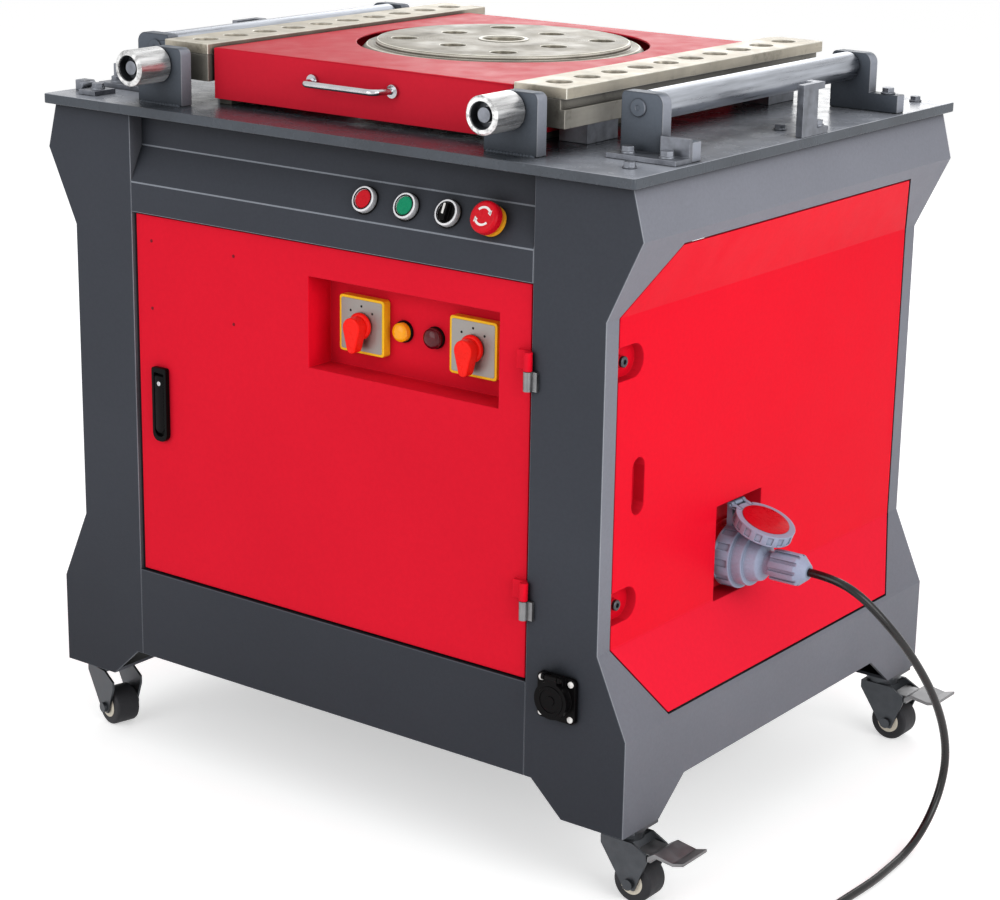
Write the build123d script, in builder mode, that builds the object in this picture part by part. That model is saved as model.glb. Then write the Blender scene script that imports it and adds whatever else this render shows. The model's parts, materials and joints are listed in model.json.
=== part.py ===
from build123d import *
from math import cos, hypot, pi, radians, sin, tan
import os

# Rebar bending machine, in millimetres.
# The origin is on the floor under the turntable's axis. The door faces -Y, the power inlet is on
# the +X side and +Z is up.

os.makedirs("parts", exist_ok=True)

# Casters: the cabinet's feet stand on them.
TYRE_R = 25
TYRE_W = 34
AXLE_R = 4
CASTER_HEAD = 41
SWIVEL_X = 414
FRONT_SWIVEL_Y = -296
REAR_SWIVEL_Y = 309
CASTER_PLATE = (54, 48, 4)
SADDLE_R = 22
KING_R = 5
TRAIL = 20
LEG_T = 3
LEG_FOOT = 7
LEG_ROOM = 2.5
LEFT_TURN = -14
PEDAL_PIN_R = 2.5
PEDAL_REACH = 59
PEDAL_W = 50

# Cabinet outline, seen from the front: half widths and heights of the waisted side.
TOP_X = 429
RIDGE_X = 444
WAIST_X = 400
LOW_X = 441
FOOT_Z = 2 * TYRE_R + CASTER_HEAD
SILL_Z = 131
LOW_RIDGE_Z = 208
WAIST_LOW_Z = 300
WAIST_TOP_Z = 678
RIDGE_Z = 770
PLATE_Z = 826
CAB_Y = 345
SHEET = 4
BACKING = 3
POST_IN_X = 303
POST_RETURN = 44
STRIP = 24
FOOT_W = 85
FOOT_L = 74
FOOT_SLANT = 50

# Fits.
RUN = 0.05
SIDE_GAP = 0.3

# Side covers: the outline in the side view, and what is let into it.
COVER_GAP = 2
COVER_Y = CAB_Y - STRIP - COVER_GAP
COVER_CUT = 65
COVER_LOW_Z = 215
COVER_TOP_Z = 753
DISH_INSET = 29
DISH_SCREW = 17
DISH_Y = -COVER_Y + DISH_INSET
DISH_ZS = (347, 626)
DISH_R = 21
DISH_WALL = 2
DISH_DEEP = 13
SLOT_Y = -274
SLOT_Z = 480
SLOT_W = 24
SLOT_H = 66
SLOT_DEEP = 15
PLUG_Y = -56
PLUG_Z = 342
NICHE_Y = (-106, -7)
NICHE_Z = (298, 414)
NICHE_DEEP = 25
NICHE_X = WAIST_X - NICHE_DEEP
PAN_T = 3

# Front: console panel, door and the recess in it.
DOOR_GAP = 4
DOOR_X = POST_IN_X - DOOR_GAP
DOOR_Z = (248, 704)
DOOR_Y = -CAB_Y + SHEET
DOOR_T = 3
DOOR_DEEP = 22
PANEL_LOW = (-CAB_Y, 743)
PANEL_SET_BACK = 20
PANEL_TOP = (-CAB_Y + PANEL_SET_BACK, 786)
RECESS_X = (-22, 256)
RECESS_Z = (557, 666)
RECESS_DEEP = 40
RECESS_Y = DOOR_Y + RECESS_DEEP
SWITCH_XS = (35, 198)
LAMP_XS = (90, 136)
SWITCH_Z = 611
SWITCH_W = 67
SWITCH_T = 12
SPINDLE_R = 5
KNOB_R = 16
LAMP_R = 11
LOCK_X = -261
LOCK_W = 24
LOCK_ROUND = 10
LOCK_Z = (423, 517)
LOCK_T = 7
LOCK_PIN_R = 1.2
LEVER_T = 4
HINGE_R = 5
HINGE_PIN_R = 2.5
HINGE_H = 22
HINGE_LEAF = 11
HINGE_X = POST_IN_X - 1
HINGE_Y = -CAB_Y - HINGE_R - SIDE_GAP
HINGE_ZS = (609, 344)
BUTTON_XS = (61, 121, 180, 240)
BUTTON_R = 11
BEZEL_RIM = 4
BEZEL_H = 8
CAP_SINK = 0.8
BUTTON_BACK = 8
COLLAR_R = 17.5
COLLAR_H = 4.4
MUSHROOM_R = 18.5
MUSHROOM_H = 11
MUSHROOM_LIFT = 5
OUTLET = (350, 240)
OUTLET_R = 21
OUTLET_OUT = 12
OUTLET_PLATE = 6
OUTLET_FLOOR = 2
OUTLET_PIN_R = 1.5

# Table, and the heights of what stands on it.
LONG_X = 361
LONG_EDGE = 77
TABLE_X = LONG_X + LONG_EDGE
TABLE_Y = 357
TABLE_T = 12
TABLE_CORNER = 4
TABLE_Z = PLATE_Z + TABLE_T
LID_X = 223
LID_Y = (-279, 218)
LID_LIFT = 7
LID_H = 61
LID_T = 3
LID_Z = (TABLE_Z + LID_LIFT + SIDE_GAP, TABLE_Z + LID_LIFT + LID_H)
LID_HOLE_R = 180
KNUCKLE_R = 6
KNUCKLE_X = (100, 130)
LID_PIN_R = 3
HANDLE_XS = (-66, 54)
HANDLE_R = 3.8
HANDLE_OUT = 27
DISC_R = 157
DISC_FLANGE_R = 174
DISC_TOP = TABLE_Z + 72
DISC_T = 31
DISC_RAISE = 6
DISC_Z = (DISC_TOP - DISC_T, DISC_TOP)
DISC_HOLES = 4
DISC_PCD = 243
DISC_INNER_PCD = 172
DISC_TURN = 37
DISC_HOLE_R = 16
BORE_R = 26
BAR_X = (228, 299)
BAR_Y = (-285, 263)
BAR_TOP = TABLE_Z + 72
BAR_T = 13
BAR_RAIL_H = 32
BAR_RAIL_STEP = 8
BAR_HOLES = 10
BAR_PITCH = 53
BAR_HOLE_R = 15
BAR_Z = (BAR_TOP - BAR_T, BAR_TOP)
BAR_RAIL_Z = BAR_Z[0] - BAR_RAIL_H
BRACKET_T = 18
BRACKET_BACK_Y = -306
BRACKET_TOP = TABLE_Z + 69
ROLLER_X = 253
ROLLER_LEFT_X = -271
ROLLER_Z = TABLE_Z + 48
ROLLER_R = 21.5
ROLLER_L = 52
ROLLER_DISH = 14
ROLLER_AXLE_R = 6
ROLLER_HEAD_R = 8.5
BRACKET_Y = (BRACKET_BACK_Y - BRACKET_T, BRACKET_BACK_Y)
ROLLER_Y = (BRACKET_Y[0] - 0.5 - ROLLER_L, BRACKET_Y[0] - 0.5)
LONG_Z = TABLE_Z + 52
LONG_R = 17
LONG_Y = (-219, 217)
LONG_STUB_R = 7

# Drive inside the cabinet.
SHAFT_R = 45
WHEEL_R = 95
WORM_R = 25
WORM_SHAFT_R = 14
MESH_GAP = 1.5
WORM_Y = WHEEL_R + WORM_R + MESH_GAP
GEARBOX_H = 176
GEARBOX_WALL = 8
GEARBOX_ROOM = 12
GEARBOX_Z = (PLATE_Z - GEARBOX_H, PLATE_Z)
WORM_Z = GEARBOX_Z[0] + 60
MOTOR_BASE = 70
MOTOR_R = 85
MOTOR_X = (-130, 150)
MOTOR_FOOT_W = 122
MOTOR_Z = SILL_Z + SHEET + MOTOR_BASE + 10 + MOTOR_R
BELT_X = (-185, -165)
BELT_T = 8.5
BELT_GAP = 0.5
DRIVEN_R = 80
DRIVING_R = 40

# Switch gear on its plate behind the door.
GEAR_X = (-285, -25)
GEAR_Y = -122
GEAR_TOP_Z = 520
CONTACTOR = (46, 68, 80)

# Power connector, its lid and the cable.
RING_R = 38
GLAND_R = 19
CONNECTOR_L = 123
CABLE_D = 10
CABLE_EXIT_X = NICHE_X + CONNECTOR_L
LIP_X = WAIST_X - 4
LIP_Z = NICHE_Z[1] - 7
LIP_TILT = 21
LIP_R = 37
LIP_PIN_R = 2
COIL_CENTRE = (700, -312)
COIL_R = 76
COIL_STEP = 12.8
COIL_LAYER = CABLE_D + 0.8
COIL_HALF_TURNS = 5
PLUG_REST_X = 118
PLUG_REST_Z = 26


def block(x, y, z, mode=Mode.ADD):
    """A box between three pairs of limits."""
    with Locations(((x[0] + x[1]) / 2, (y[0] + y[1]) / 2, (z[0] + z[1]) / 2)):
        Box(x[1] - x[0], y[1] - y[0], z[1] - z[0], mode=mode)


def rod_x(y, z, x, radius, mode=Mode.ADD):
    """A round bar along X between two limits."""
    with Locations(Location(((x[0] + x[1]) / 2, y, z), (0, 90, 0))):
        Cylinder(radius, x[1] - x[0], mode=mode)


def rod_y(x, z, y, radius, mode=Mode.ADD):
    """A round bar along Y between two limits."""
    with Locations(Location((x, (y[0] + y[1]) / 2, z), (90, 0, 0))):
        Cylinder(radius, y[1] - y[0], mode=mode)


def rod_z(x, y, z, radius, mode=Mode.ADD):
    """A round bar along Z between two limits."""
    with Locations((x, y, (z[0] + z[1]) / 2)):
        Cylinder(radius, z[1] - z[0], mode=mode)


def plate_x(points, x, grow=0, mode=Mode.ADD):
    """A flat plate with a (y, z) outline, between two x limits."""
    with BuildSketch(Plane.YZ.offset(x[0])) as outline:
        with BuildLine():
            Polyline(*points, close=True)
        make_face()
        if grow:
            offset(amount=grow, kind=Kind.INTERSECTION)
    extrude(outline.sketch, amount=x[1] - x[0], mode=mode)


def plate_y(points, y, mode=Mode.ADD):
    """A flat plate with an (x, z) outline, between two y limits."""
    with BuildSketch(Plane.XZ.offset(-y[1])) as outline:
        with BuildLine():
            Polyline(*points, close=True)
        make_face()
    extrude(outline.sketch, amount=y[1] - y[0], mode=mode)


def round_top_plate(x, z, y, left, right, mode=Mode.ADD):
    """An upright plate with a radius at each of its two top corners."""
    with BuildSketch(Plane.XZ.offset(-y[1])) as outline:
        with Locations(((x[0] + x[1]) / 2, (z[0] + z[1]) / 2)):
            Rectangle(x[1] - x[0], z[1] - z[0])
        fillet(outline.vertices().group_by(Axis.Y)[-1].sort_by(Axis.X)[0], left)
        fillet(outline.vertices().group_by(Axis.Y)[-1].sort_by(Axis.X)[-1], right)
    extrude(outline.sketch, amount=y[1] - y[0], mode=mode)


def save(piece, name):
    """Label a finished piece and write it."""
    piece.part.label = name
    export_step(piece.part, f"parts/{name}.step")


SIDE_PROFILE = [
    (TOP_X, PLATE_Z),
    (RIDGE_X, RIDGE_Z),
    (WAIST_X, WAIST_TOP_Z),
    (WAIST_X, WAIST_LOW_Z),
    (LOW_X, LOW_RIDGE_Z),
    (LOW_X, FOOT_Z),
]


def side_x(z):
    """Half width of the cabinet's outside at a height."""
    for (xa, za), (xb, zb) in zip(SIDE_PROFILE, SIDE_PROFILE[1:]):
        if zb <= z <= za:
            return xa + (xb - xa) * (za - z) / (za - zb)


def side_line(z_low, z_high):
    """The side's outline from the top down, between two heights."""
    middle = [p for p in SIDE_PROFILE if z_low < p[1] < z_high]
    return [(side_x(z_high), z_high)] + middle + [(side_x(z_low), z_low)]


def side_sheet(z, y, inset=0, thickness=SHEET):
    """Sheet metal that follows the side's outline, between two heights and two y limits."""
    line = side_line(*z)
    outside = [(px - inset, pz) for px, pz in line]
    inside = [(px - inset - thickness, pz) for px, pz in reversed(line)]
    plate_y(outside + inside, y)


COVER_OUTLINE = [
    (-COVER_Y, WAIST_TOP_Z),
    (-COVER_Y + COVER_CUT, COVER_TOP_Z),
    (COVER_Y - COVER_CUT, COVER_TOP_Z),
    (COVER_Y, WAIST_TOP_Z),
    (COVER_Y, WAIST_LOW_Z),
    (COVER_Y - COVER_CUT, COVER_LOW_Z),
    (-COVER_Y + COVER_CUT, COVER_LOW_Z),
    (-COVER_Y, WAIST_LOW_Z),
]
COVER_CUT_X = (WAIST_X - 30, RIDGE_X + 10)

# Corner posts: a waisted front plate, a side strip with a backing for the cover, an inner return
# and a foot that stands on its caster.
with BuildPart() as front_posts:
    plate_y(
        [(POST_IN_X, PLATE_Z)]
        + side_line(FOOT_Z, PLATE_Z)
        + [(LOW_X - FOOT_W, FOOT_Z), (POST_IN_X + 10, SILL_Z), (POST_IN_X, SILL_Z)],
        (-CAB_Y, -CAB_Y + SHEET),
    )
    side_sheet((SILL_Z, PLATE_Z), (-CAB_Y, -CAB_Y + STRIP))
    side_sheet((COVER_LOW_Z + 12, COVER_TOP_Z - 12), (-CAB_Y + SHEET, DISH_Y), SHEET, BACKING)
    for dish_z in DISH_ZS:
        backing_x = (WAIST_X - 10, WAIST_X - SHEET)
        rod_x(DISH_Y, dish_z, backing_x, DISH_R + 1, Mode.SUBTRACT)
        block(
            backing_x,
            (-COVER_Y - 1, DISH_Y),
            (dish_z - DISH_R - 1, dish_z + DISH_R + 1),
            Mode.SUBTRACT,
        )
    block((POST_IN_X, POST_IN_X + SHEET), (-CAB_Y, -CAB_Y + POST_RETURN), (SILL_Z + SHEET, PLATE_Z))
    plate_x(
        [
            (-CAB_Y, FOOT_Z),
            (-CAB_Y + FOOT_L, FOOT_Z),
            (-CAB_Y + FOOT_L + FOOT_SLANT, SILL_Z),
            (-CAB_Y, SILL_Z),
        ],
        (LOW_X - SHEET, LOW_X),
    )
    block((LOW_X - FOOT_W, LOW_X), (-CAB_Y, -CAB_Y + FOOT_L), (FOOT_Z, FOOT_Z + SHEET))
    mirror(about=Plane.YZ)
save(front_posts, "front_posts")

with BuildPart() as rear_posts:
    mirror(front_posts.part, about=Plane.XZ)
save(rear_posts, "rear_posts")

# Bands above and sills below the side covers, with the grey corners beside the covers' cuts.
with BuildPart() as upper_side_bands:
    side_sheet((WAIST_TOP_Z, PLATE_Z), (-CAB_Y + STRIP, CAB_Y - STRIP))
    plate_x(COVER_OUTLINE, COVER_CUT_X, COVER_GAP, Mode.SUBTRACT)
    mirror(about=Plane.YZ)
save(upper_side_bands, "upper_side_bands")

with BuildPart() as lower_side_sills:
    side_sheet((SILL_Z, WAIST_LOW_Z), (-CAB_Y + STRIP, CAB_Y - STRIP))
    plate_x(COVER_OUTLINE, COVER_CUT_X, COVER_GAP, Mode.SUBTRACT)
    mirror(about=Plane.YZ)
save(lower_side_sills, "lower_side_sills")


def side_cover():
    """A cover folded along the side's outline, with two screw dishes open to its front edge and
    a finger slot."""
    side_sheet((COVER_LOW_Z, COVER_TOP_Z), (-COVER_Y, COVER_Y))
    plate_x(COVER_OUTLINE, COVER_CUT_X, mode=Mode.INTERSECT)
    dish_x = WAIST_X - DISH_DEEP
    dish_open = DISH_R - DISH_WALL
    for dish_z in DISH_ZS:
        rod_x(DISH_Y, dish_z, (dish_x - PAN_T, WAIST_X), DISH_R)
        block((dish_x - PAN_T, WAIST_X), (-COVER_Y, DISH_Y), (dish_z - DISH_R, dish_z + DISH_R))
        rod_x(DISH_Y, dish_z, (dish_x, WAIST_X + 1), dish_open, Mode.SUBTRACT)
        block(
            (dish_x, WAIST_X + 1),
            (-COVER_Y, DISH_Y),
            (dish_z - dish_open, dish_z + dish_open),
            Mode.SUBTRACT,
        )
        rod_x(-COVER_Y + DISH_SCREW, dish_z, (dish_x, dish_x + 5), DISH_R / 3)
    block(
        (WAIST_X - SLOT_DEEP - PAN_T, WAIST_X - SHEET),
        (SLOT_Y - SLOT_W / 2 - PAN_T, SLOT_Y + SLOT_W / 2 + PAN_T),
        (SLOT_Z - SLOT_H / 2 - PAN_T, SLOT_Z + SLOT_H / 2 + PAN_T),
    )
    with BuildSketch(Plane.YZ.offset(WAIST_X - SLOT_DEEP)) as slot:
        with Locations((SLOT_Y, SLOT_Z)):
            SlotOverall(SLOT_H, SLOT_W, rotation=90)
    extrude(slot.sketch, amount=SLOT_DEEP + 1, mode=Mode.SUBTRACT)


with BuildPart() as side_cover_right:
    side_cover()
    block(
        (NICHE_X - PAN_T, WAIST_X),
        (NICHE_Y[0] - PAN_T, NICHE_Y[1] + PAN_T),
        (NICHE_Z[0] - PAN_T, NICHE_Z[1] + PAN_T),
    )
    block((NICHE_X, WAIST_X + 3), NICHE_Y, NICHE_Z, Mode.SUBTRACT)
save(side_cover_right, "side_cover_right")

with BuildPart() as left_cover_blank:
    side_cover()
with BuildPart() as side_cover_left:
    mirror(left_cover_blank.part, about=Plane.YZ)
save(side_cover_left, "side_cover_left")

# Front and rear aprons, and the header over the rear cover.
with BuildPart() as aprons:
    block((-POST_IN_X, POST_IN_X), (-CAB_Y, -CAB_Y + SHEET), (SILL_Z, DOOR_Z[0] - 2))
    block(
        (-POST_IN_X, POST_IN_X),
        (-CAB_Y + SHEET, -CAB_Y + 33),
        (DOOR_Z[0] - 2 - SHEET, DOOR_Z[0] - 2),
    )
    mirror(about=Plane.XZ)
    block((-POST_IN_X, POST_IN_X), (CAB_Y - SHEET, CAB_Y), (PANEL_LOW[1] + 2, PLATE_Z))
save(aprons, "aprons")

REAR_LAP = 10
REAR_Z = (DOOR_Z[0] - REAR_LAP, PANEL_LOW[1] + REAR_LAP)
with BuildPart() as rear_cover:
    block((-POST_IN_X - REAR_LAP, POST_IN_X + REAR_LAP), (CAB_Y, CAB_Y + PAN_T), REAR_Z)
    with BuildSketch(Plane.XZ.offset(-CAB_Y - PAN_T)) as vents:
        with Locations((0, sum(REAR_Z) / 2)):
            with GridLocations(240, 30, 2, 9):
                SlotOverall(150, 8)
    extrude(vents.sketch, amount=PAN_T, mode=Mode.SUBTRACT)
save(rear_cover, "rear_cover")

# Console: a band over the door, the inclined button panel and the wall behind it.
PANEL_RISE = PANEL_TOP[1] - PANEL_LOW[1]
PANEL_RUN = PANEL_TOP[0] - PANEL_LOW[0]
PANEL_NORMAL = Vector(0, -PANEL_RISE, PANEL_RUN).normalized()
PANEL_MID = ((PANEL_LOW[0] + PANEL_TOP[0]) / 2, (PANEL_LOW[1] + PANEL_TOP[1]) / 2)
BUTTON_PLANES = [
    Plane(origin=(x, *PANEL_MID), x_dir=(1, 0, 0), z_dir=PANEL_NORMAL) for x in BUTTON_XS
]
with BuildPart() as console_panel:
    plate_x(
        [
            (-CAB_Y, DOOR_Z[1] + 2),
            PANEL_LOW,
            PANEL_TOP,
            (PANEL_TOP[0], PLATE_Z),
            (PANEL_TOP[0] + SHEET, PLATE_Z),
            (PANEL_TOP[0] + SHEET, PANEL_TOP[1] - 1.3),
            (PANEL_LOW[0] + SHEET, PANEL_LOW[1] - 1.3),
            (-CAB_Y + SHEET, DOOR_Z[1] + 2),
        ],
        (-POST_IN_X, POST_IN_X),
    )
    for plane in BUTTON_PLANES:
        with Locations(plane):
            Cylinder(BUTTON_R + 0.5, 30, mode=Mode.SUBTRACT)
save(console_panel, "console_panel")

# Floor pan with the motor's base.
with BuildPart() as floor_pan:
    block(
        (-LOW_X + SHEET, LOW_X - SHEET),
        (-CAB_Y + SHEET, CAB_Y - SHEET),
        (SILL_Z, SILL_Z + SHEET),
    )
    motor_foot_x = (MOTOR_X[0] + 20, MOTOR_X[1] - 20)
    motor_foot_y = (WORM_Y - MOTOR_FOOT_W / 2 - 1, WORM_Y + MOTOR_FOOT_W / 2 + 1)
    block(motor_foot_x, motor_foot_y, (SILL_Z + SHEET, SILL_Z + SHEET + MOTOR_BASE))
save(floor_pan, "floor_pan")

# Table plate.
with BuildPart() as table_plate:
    block((-TABLE_X, TABLE_X), (-TABLE_Y, TABLE_Y), (PLATE_Z, TABLE_Z))
    fillet(table_plate.edges().filter_by(Axis.Z), TABLE_CORNER)
    rod_z(0, 0, (PLATE_Z, TABLE_Z), SHAFT_R + 30, Mode.SUBTRACT)
save(table_plate, "table_plate")

# Rails that carry the perforated bars and the turntable cover, with the cover's fixed hinge
# knuckles.
LID_HINGE_Y = LID_Y[1] + KNUCKLE_R + 3
LID_HINGE_Z = LID_Z[0] + 2
with BuildPart() as table_rails:
    block((BAR_X[0], BAR_X[1] - BAR_RAIL_STEP), BAR_Y, (BAR_RAIL_Z, BAR_Z[0]))
    block((BAR_X[0], BAR_X[1] - BAR_RAIL_STEP / 4), BAR_Y, (BAR_RAIL_Z, BAR_RAIL_Z + BAR_RAIL_H * 0.65))
    with Locations(((BAR_X[0] + BAR_X[1]) / 2, sum(BAR_Y) / 2, BAR_Z[0])):
        with GridLocations(1, BAR_PITCH, 1, BAR_HOLES):
            Hole(BAR_HOLE_R, BAR_RAIL_H)
    block((LID_X - 19, LID_X), (LID_Y[0] + 8, LID_Y[1] - 8), (TABLE_Z, TABLE_Z + LID_LIFT))
    rod_x(LID_HINGE_Y, LID_HINGE_Z, (KNUCKLE_X[1] + SIDE_GAP, KNUCKLE_X[1] + 30), KNUCKLE_R)
    block(
        (KNUCKLE_X[1] + 2, KNUCKLE_X[1] + 28),
        (LID_HINGE_Y - 4, LID_HINGE_Y + 5),
        (TABLE_Z, LID_HINGE_Z - 2),
    )
    rod_x(LID_HINGE_Y, LID_HINGE_Z, (KNUCKLE_X[0] + 1, KNUCKLE_X[1] + 1), LID_PIN_R)
    mirror(about=Plane.YZ)
save(table_rails, "table_rails")

with BuildPart() as perforated_bars:
    block(BAR_X, BAR_Y, BAR_Z)
    with Locations(((BAR_X[0] + BAR_X[1]) / 2, sum(BAR_Y) / 2, BAR_Z[1])):
        with GridLocations(1, BAR_PITCH, 1, BAR_HOLES):
            Hole(BAR_HOLE_R, BAR_Z[1] - BAR_Z[0])
    mirror(about=Plane.YZ)
save(perforated_bars, "perforated_bars")

# Brackets of the short rollers in front and of the long rollers at the sides.
BRACKET_HALF_W = 36
LONG_BRACKET_X = (LONG_X - 23, LONG_X + 31)
LONG_BRACKET_FOOT_X = LONG_X + 70
LONG_BRACKETS = (
    (LONG_Y[0] - 1 - BRACKET_T, LONG_Y[0] - 1),
    (LONG_Y[1] + 1, LONG_Y[1] + 1 + BRACKET_T),
)
with BuildPart() as roller_brackets:
    for bracket_y in LONG_BRACKETS:
        round_top_plate(LONG_BRACKET_X, (TABLE_Z, BRACKET_TOP), bracket_y, 6, 12)
        block((LONG_BRACKET_X[1], LONG_BRACKET_FOOT_X), bracket_y, (TABLE_Z, TABLE_Z + 22))
        rod_y(LONG_X, LONG_Z, bracket_y, LONG_STUB_R + RUN, Mode.SUBTRACT)
    mirror(about=Plane.YZ)
    for roller_x in (ROLLER_LEFT_X, ROLLER_X):
        bracket_x = (roller_x - BRACKET_HALF_W, roller_x + BRACKET_HALF_W)
        round_top_plate(bracket_x, (TABLE_Z, BRACKET_TOP), BRACKET_Y, BRACKET_HALF_W - 2, 8)
        rod_y(roller_x, ROLLER_Z, BRACKET_Y, ROLLER_AXLE_R, Mode.SUBTRACT)
save(roller_brackets, "roller_brackets")


def hex_bolt(x, y, z, size=8):
    """A bolt head on its washer."""
    rod_z(x, y, (z, z + 2), size * 1.1)
    with BuildSketch(Plane.XY.offset(z + 2)) as head:
        with Locations((x, y)):
            RegularPolygon(size, 6)
    extrude(head.sketch, amount=size * 0.7)


# Zinc-plated hardware on the table: the rails' feet, foot angles, edge guides, bolts, a clamp at the
# left end and the short rollers' axles.
FOOT_ANGLE_Y = (LONG_BRACKETS[0][0] - 32, LONG_BRACKETS[0][0])
GUIDE_X = (TABLE_X - 10, TABLE_X - 1)
GUIDE_Y = -17
GUIDE_L = 33
GUIDE_H = 60
TABLE_BOLTS = ((TABLE_X - 41, 51 - TABLE_Y), (TABLE_X - 52, 20), (TABLE_X - 40, TABLE_Y - 29))
HEAD_Y = (ROLLER_Y[0] + 5, ROLLER_Y[0] + ROLLER_DISH - SIDE_GAP)
clamp_x, clamp_y = TABLE_BOLTS[0]
with BuildPart() as table_hardware:
    for foot_y in (BAR_Y[0] + 100, BAR_Y[1] - 60):
        block((BAR_X[0] + 12, BAR_X[1] - 20), (foot_y - 30, foot_y + 30), (TABLE_Z, BAR_RAIL_Z))
    block((LONG_X - 20, LONG_BRACKET_FOOT_X), FOOT_ANGLE_Y, (TABLE_Z, TABLE_Z + 6))
    block(
        (LONG_BRACKET_X[1] + 1, LONG_BRACKET_FOOT_X),
        (FOOT_ANGLE_Y[1] - 5, FOOT_ANGLE_Y[1]),
        (TABLE_Z, TABLE_Z + 26),
    )
    for bolt_x in (LONG_X, LONG_X + 50):
        hex_bolt(bolt_x, FOOT_ANGLE_Y[0] + 14, TABLE_Z + 6)
    hex_bolt(LONG_X + 52, sum(LONG_BRACKETS[1]) / 2, TABLE_Z + 22)
    block(GUIDE_X, (GUIDE_Y, GUIDE_Y + GUIDE_L), (TABLE_Z, TABLE_Z + GUIDE_H))
    block(
        (GUIDE_X[0] - 10, GUIDE_X[1]),
        (GUIDE_Y + GUIDE_L, GUIDE_Y + GUIDE_L + 26),
        (TABLE_Z, TABLE_Z + 8),
    )
    block(
        (GUIDE_X[0] - 10, GUIDE_X[1]),
        (GUIDE_Y + GUIDE_L, GUIDE_Y + GUIDE_L + 14),
        (TABLE_Z + GUIDE_H - 8, TABLE_Z + GUIDE_H),
    )
    hex_bolt(GUIDE_X[0], GUIDE_Y + GUIDE_L + 16, TABLE_Z + 8, 7)
    for bolt_x, bolt_y in TABLE_BOLTS:
        hex_bolt(bolt_x, bolt_y, TABLE_Z, 7)
    mirror(about=Plane.YZ)
    block((-clamp_x - 31, -clamp_x - 13), (clamp_y - 6, clamp_y + 10), (TABLE_Z, TABLE_Z + 13))
    rod_y(-clamp_x - 12.5, TABLE_Z + 8, (clamp_y - 16, clamp_y + 8), 4.5)
    block((-clamp_x - 3, -clamp_x + 25), (clamp_y - 28, clamp_y + 8), (TABLE_Z, TABLE_Z + 6))
    hex_bolt(-clamp_x + 13, clamp_y - 10, TABLE_Z + 6)
    for roller_x in (ROLLER_LEFT_X, ROLLER_X):
        rod_y(roller_x, ROLLER_Z, (HEAD_Y[0], BRACKET_Y[1]), ROLLER_AXLE_R)
        rod_y(roller_x, ROLLER_Z, HEAD_Y, ROLLER_HEAD_R)
save(table_hardware, "table_hardware")

# Short chrome rollers, dished at the front end, and the long steel rollers with their end stubs.
for side, sign, roller_x in (("left", -1, ROLLER_LEFT_X), ("right", 1, ROLLER_X)):
    with BuildPart() as short_roller:
        rod_y(roller_x, ROLLER_Z, ROLLER_Y, ROLLER_R)
        chamfer(short_roller.edges().filter_by(GeomType.CIRCLE), 2)
        dish_y = (ROLLER_Y[0], ROLLER_Y[0] + ROLLER_DISH)
        rod_y(roller_x, ROLLER_Z, dish_y, ROLLER_R - 6, Mode.SUBTRACT)
        rod_y(roller_x, ROLLER_Z, ROLLER_Y, ROLLER_AXLE_R + RUN, Mode.SUBTRACT)
    save(short_roller, f"short_roller_{side}")
    with BuildPart() as long_roller:
        rod_y(sign * LONG_X, LONG_Z, LONG_Y, LONG_R)
        chamfer(long_roller.edges().filter_by(GeomType.CIRCLE), 1.5)
        rod_y(sign * LONG_X, LONG_Z, (LONG_Y[0] - BRACKET_T, LONG_Y[1] + BRACKET_T), LONG_STUB_R)
    save(long_roller, f"long_roller_{side}")

# Turntable cover: a folded box with a round opening, knuckles at the back and a bow handle.
with BuildPart() as top_cover:
    block((-LID_X, LID_X), LID_Y, LID_Z)
    block(
        (-LID_X + LID_T, LID_X - LID_T),
        (LID_Y[0] + LID_T, LID_Y[1] - LID_T),
        (LID_Z[0], LID_Z[1] - LID_T),
        Mode.SUBTRACT,
    )
    rod_z(0, 0, (LID_Z[1] - LID_T - 2, LID_Z[1] + 1), LID_HOLE_R, Mode.SUBTRACT)
    for sign in (-1, 1):
        knuckle_x = sorted((sign * KNUCKLE_X[0], sign * KNUCKLE_X[1]))
        rod_x(LID_HINGE_Y, LID_HINGE_Z, knuckle_x, KNUCKLE_R)
        block(knuckle_x, (LID_Y[1] - 1, LID_HINGE_Y), (LID_HINGE_Z, LID_HINGE_Z + KNUCKLE_R))
        rod_x(LID_HINGE_Y, LID_HINGE_Z, knuckle_x, LID_PIN_R + RUN, Mode.SUBTRACT)
save(top_cover, "top_cover")

HANDLE_Z = LID_Z[0] + 0.59 * LID_H
with BuildPart() as top_cover_handle:
    with BuildLine():
        FilletPolyline(
            (HANDLE_XS[0], LID_Y[0], HANDLE_Z),
            (HANDLE_XS[0] + 8, LID_Y[0] - HANDLE_OUT, HANDLE_Z),
            (HANDLE_XS[1] - 8, LID_Y[0] - HANDLE_OUT, HANDLE_Z),
            (HANDLE_XS[1], LID_Y[0], HANDLE_Z),
            radius=HANDLE_R * 2.4,
        )
    with BuildSketch(Plane.XZ.offset(-LID_Y[0])):
        with Locations((HANDLE_XS[0], HANDLE_Z)):
            Circle(HANDLE_R)
    sweep()
    block(
        (HANDLE_XS[0] - 40, HANDLE_XS[1] + 40),
        (LID_Y[0], LID_Y[0] + 20),
        (HANDLE_Z - 25, HANDLE_Z + 25),
        Mode.SUBTRACT,
    )
    for x in HANDLE_XS:
        rod_y(x, HANDLE_Z, (LID_Y[0] - 4, LID_Y[0]), HANDLE_R + 4)
save(top_cover_handle, "top_cover_handle")

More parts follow.
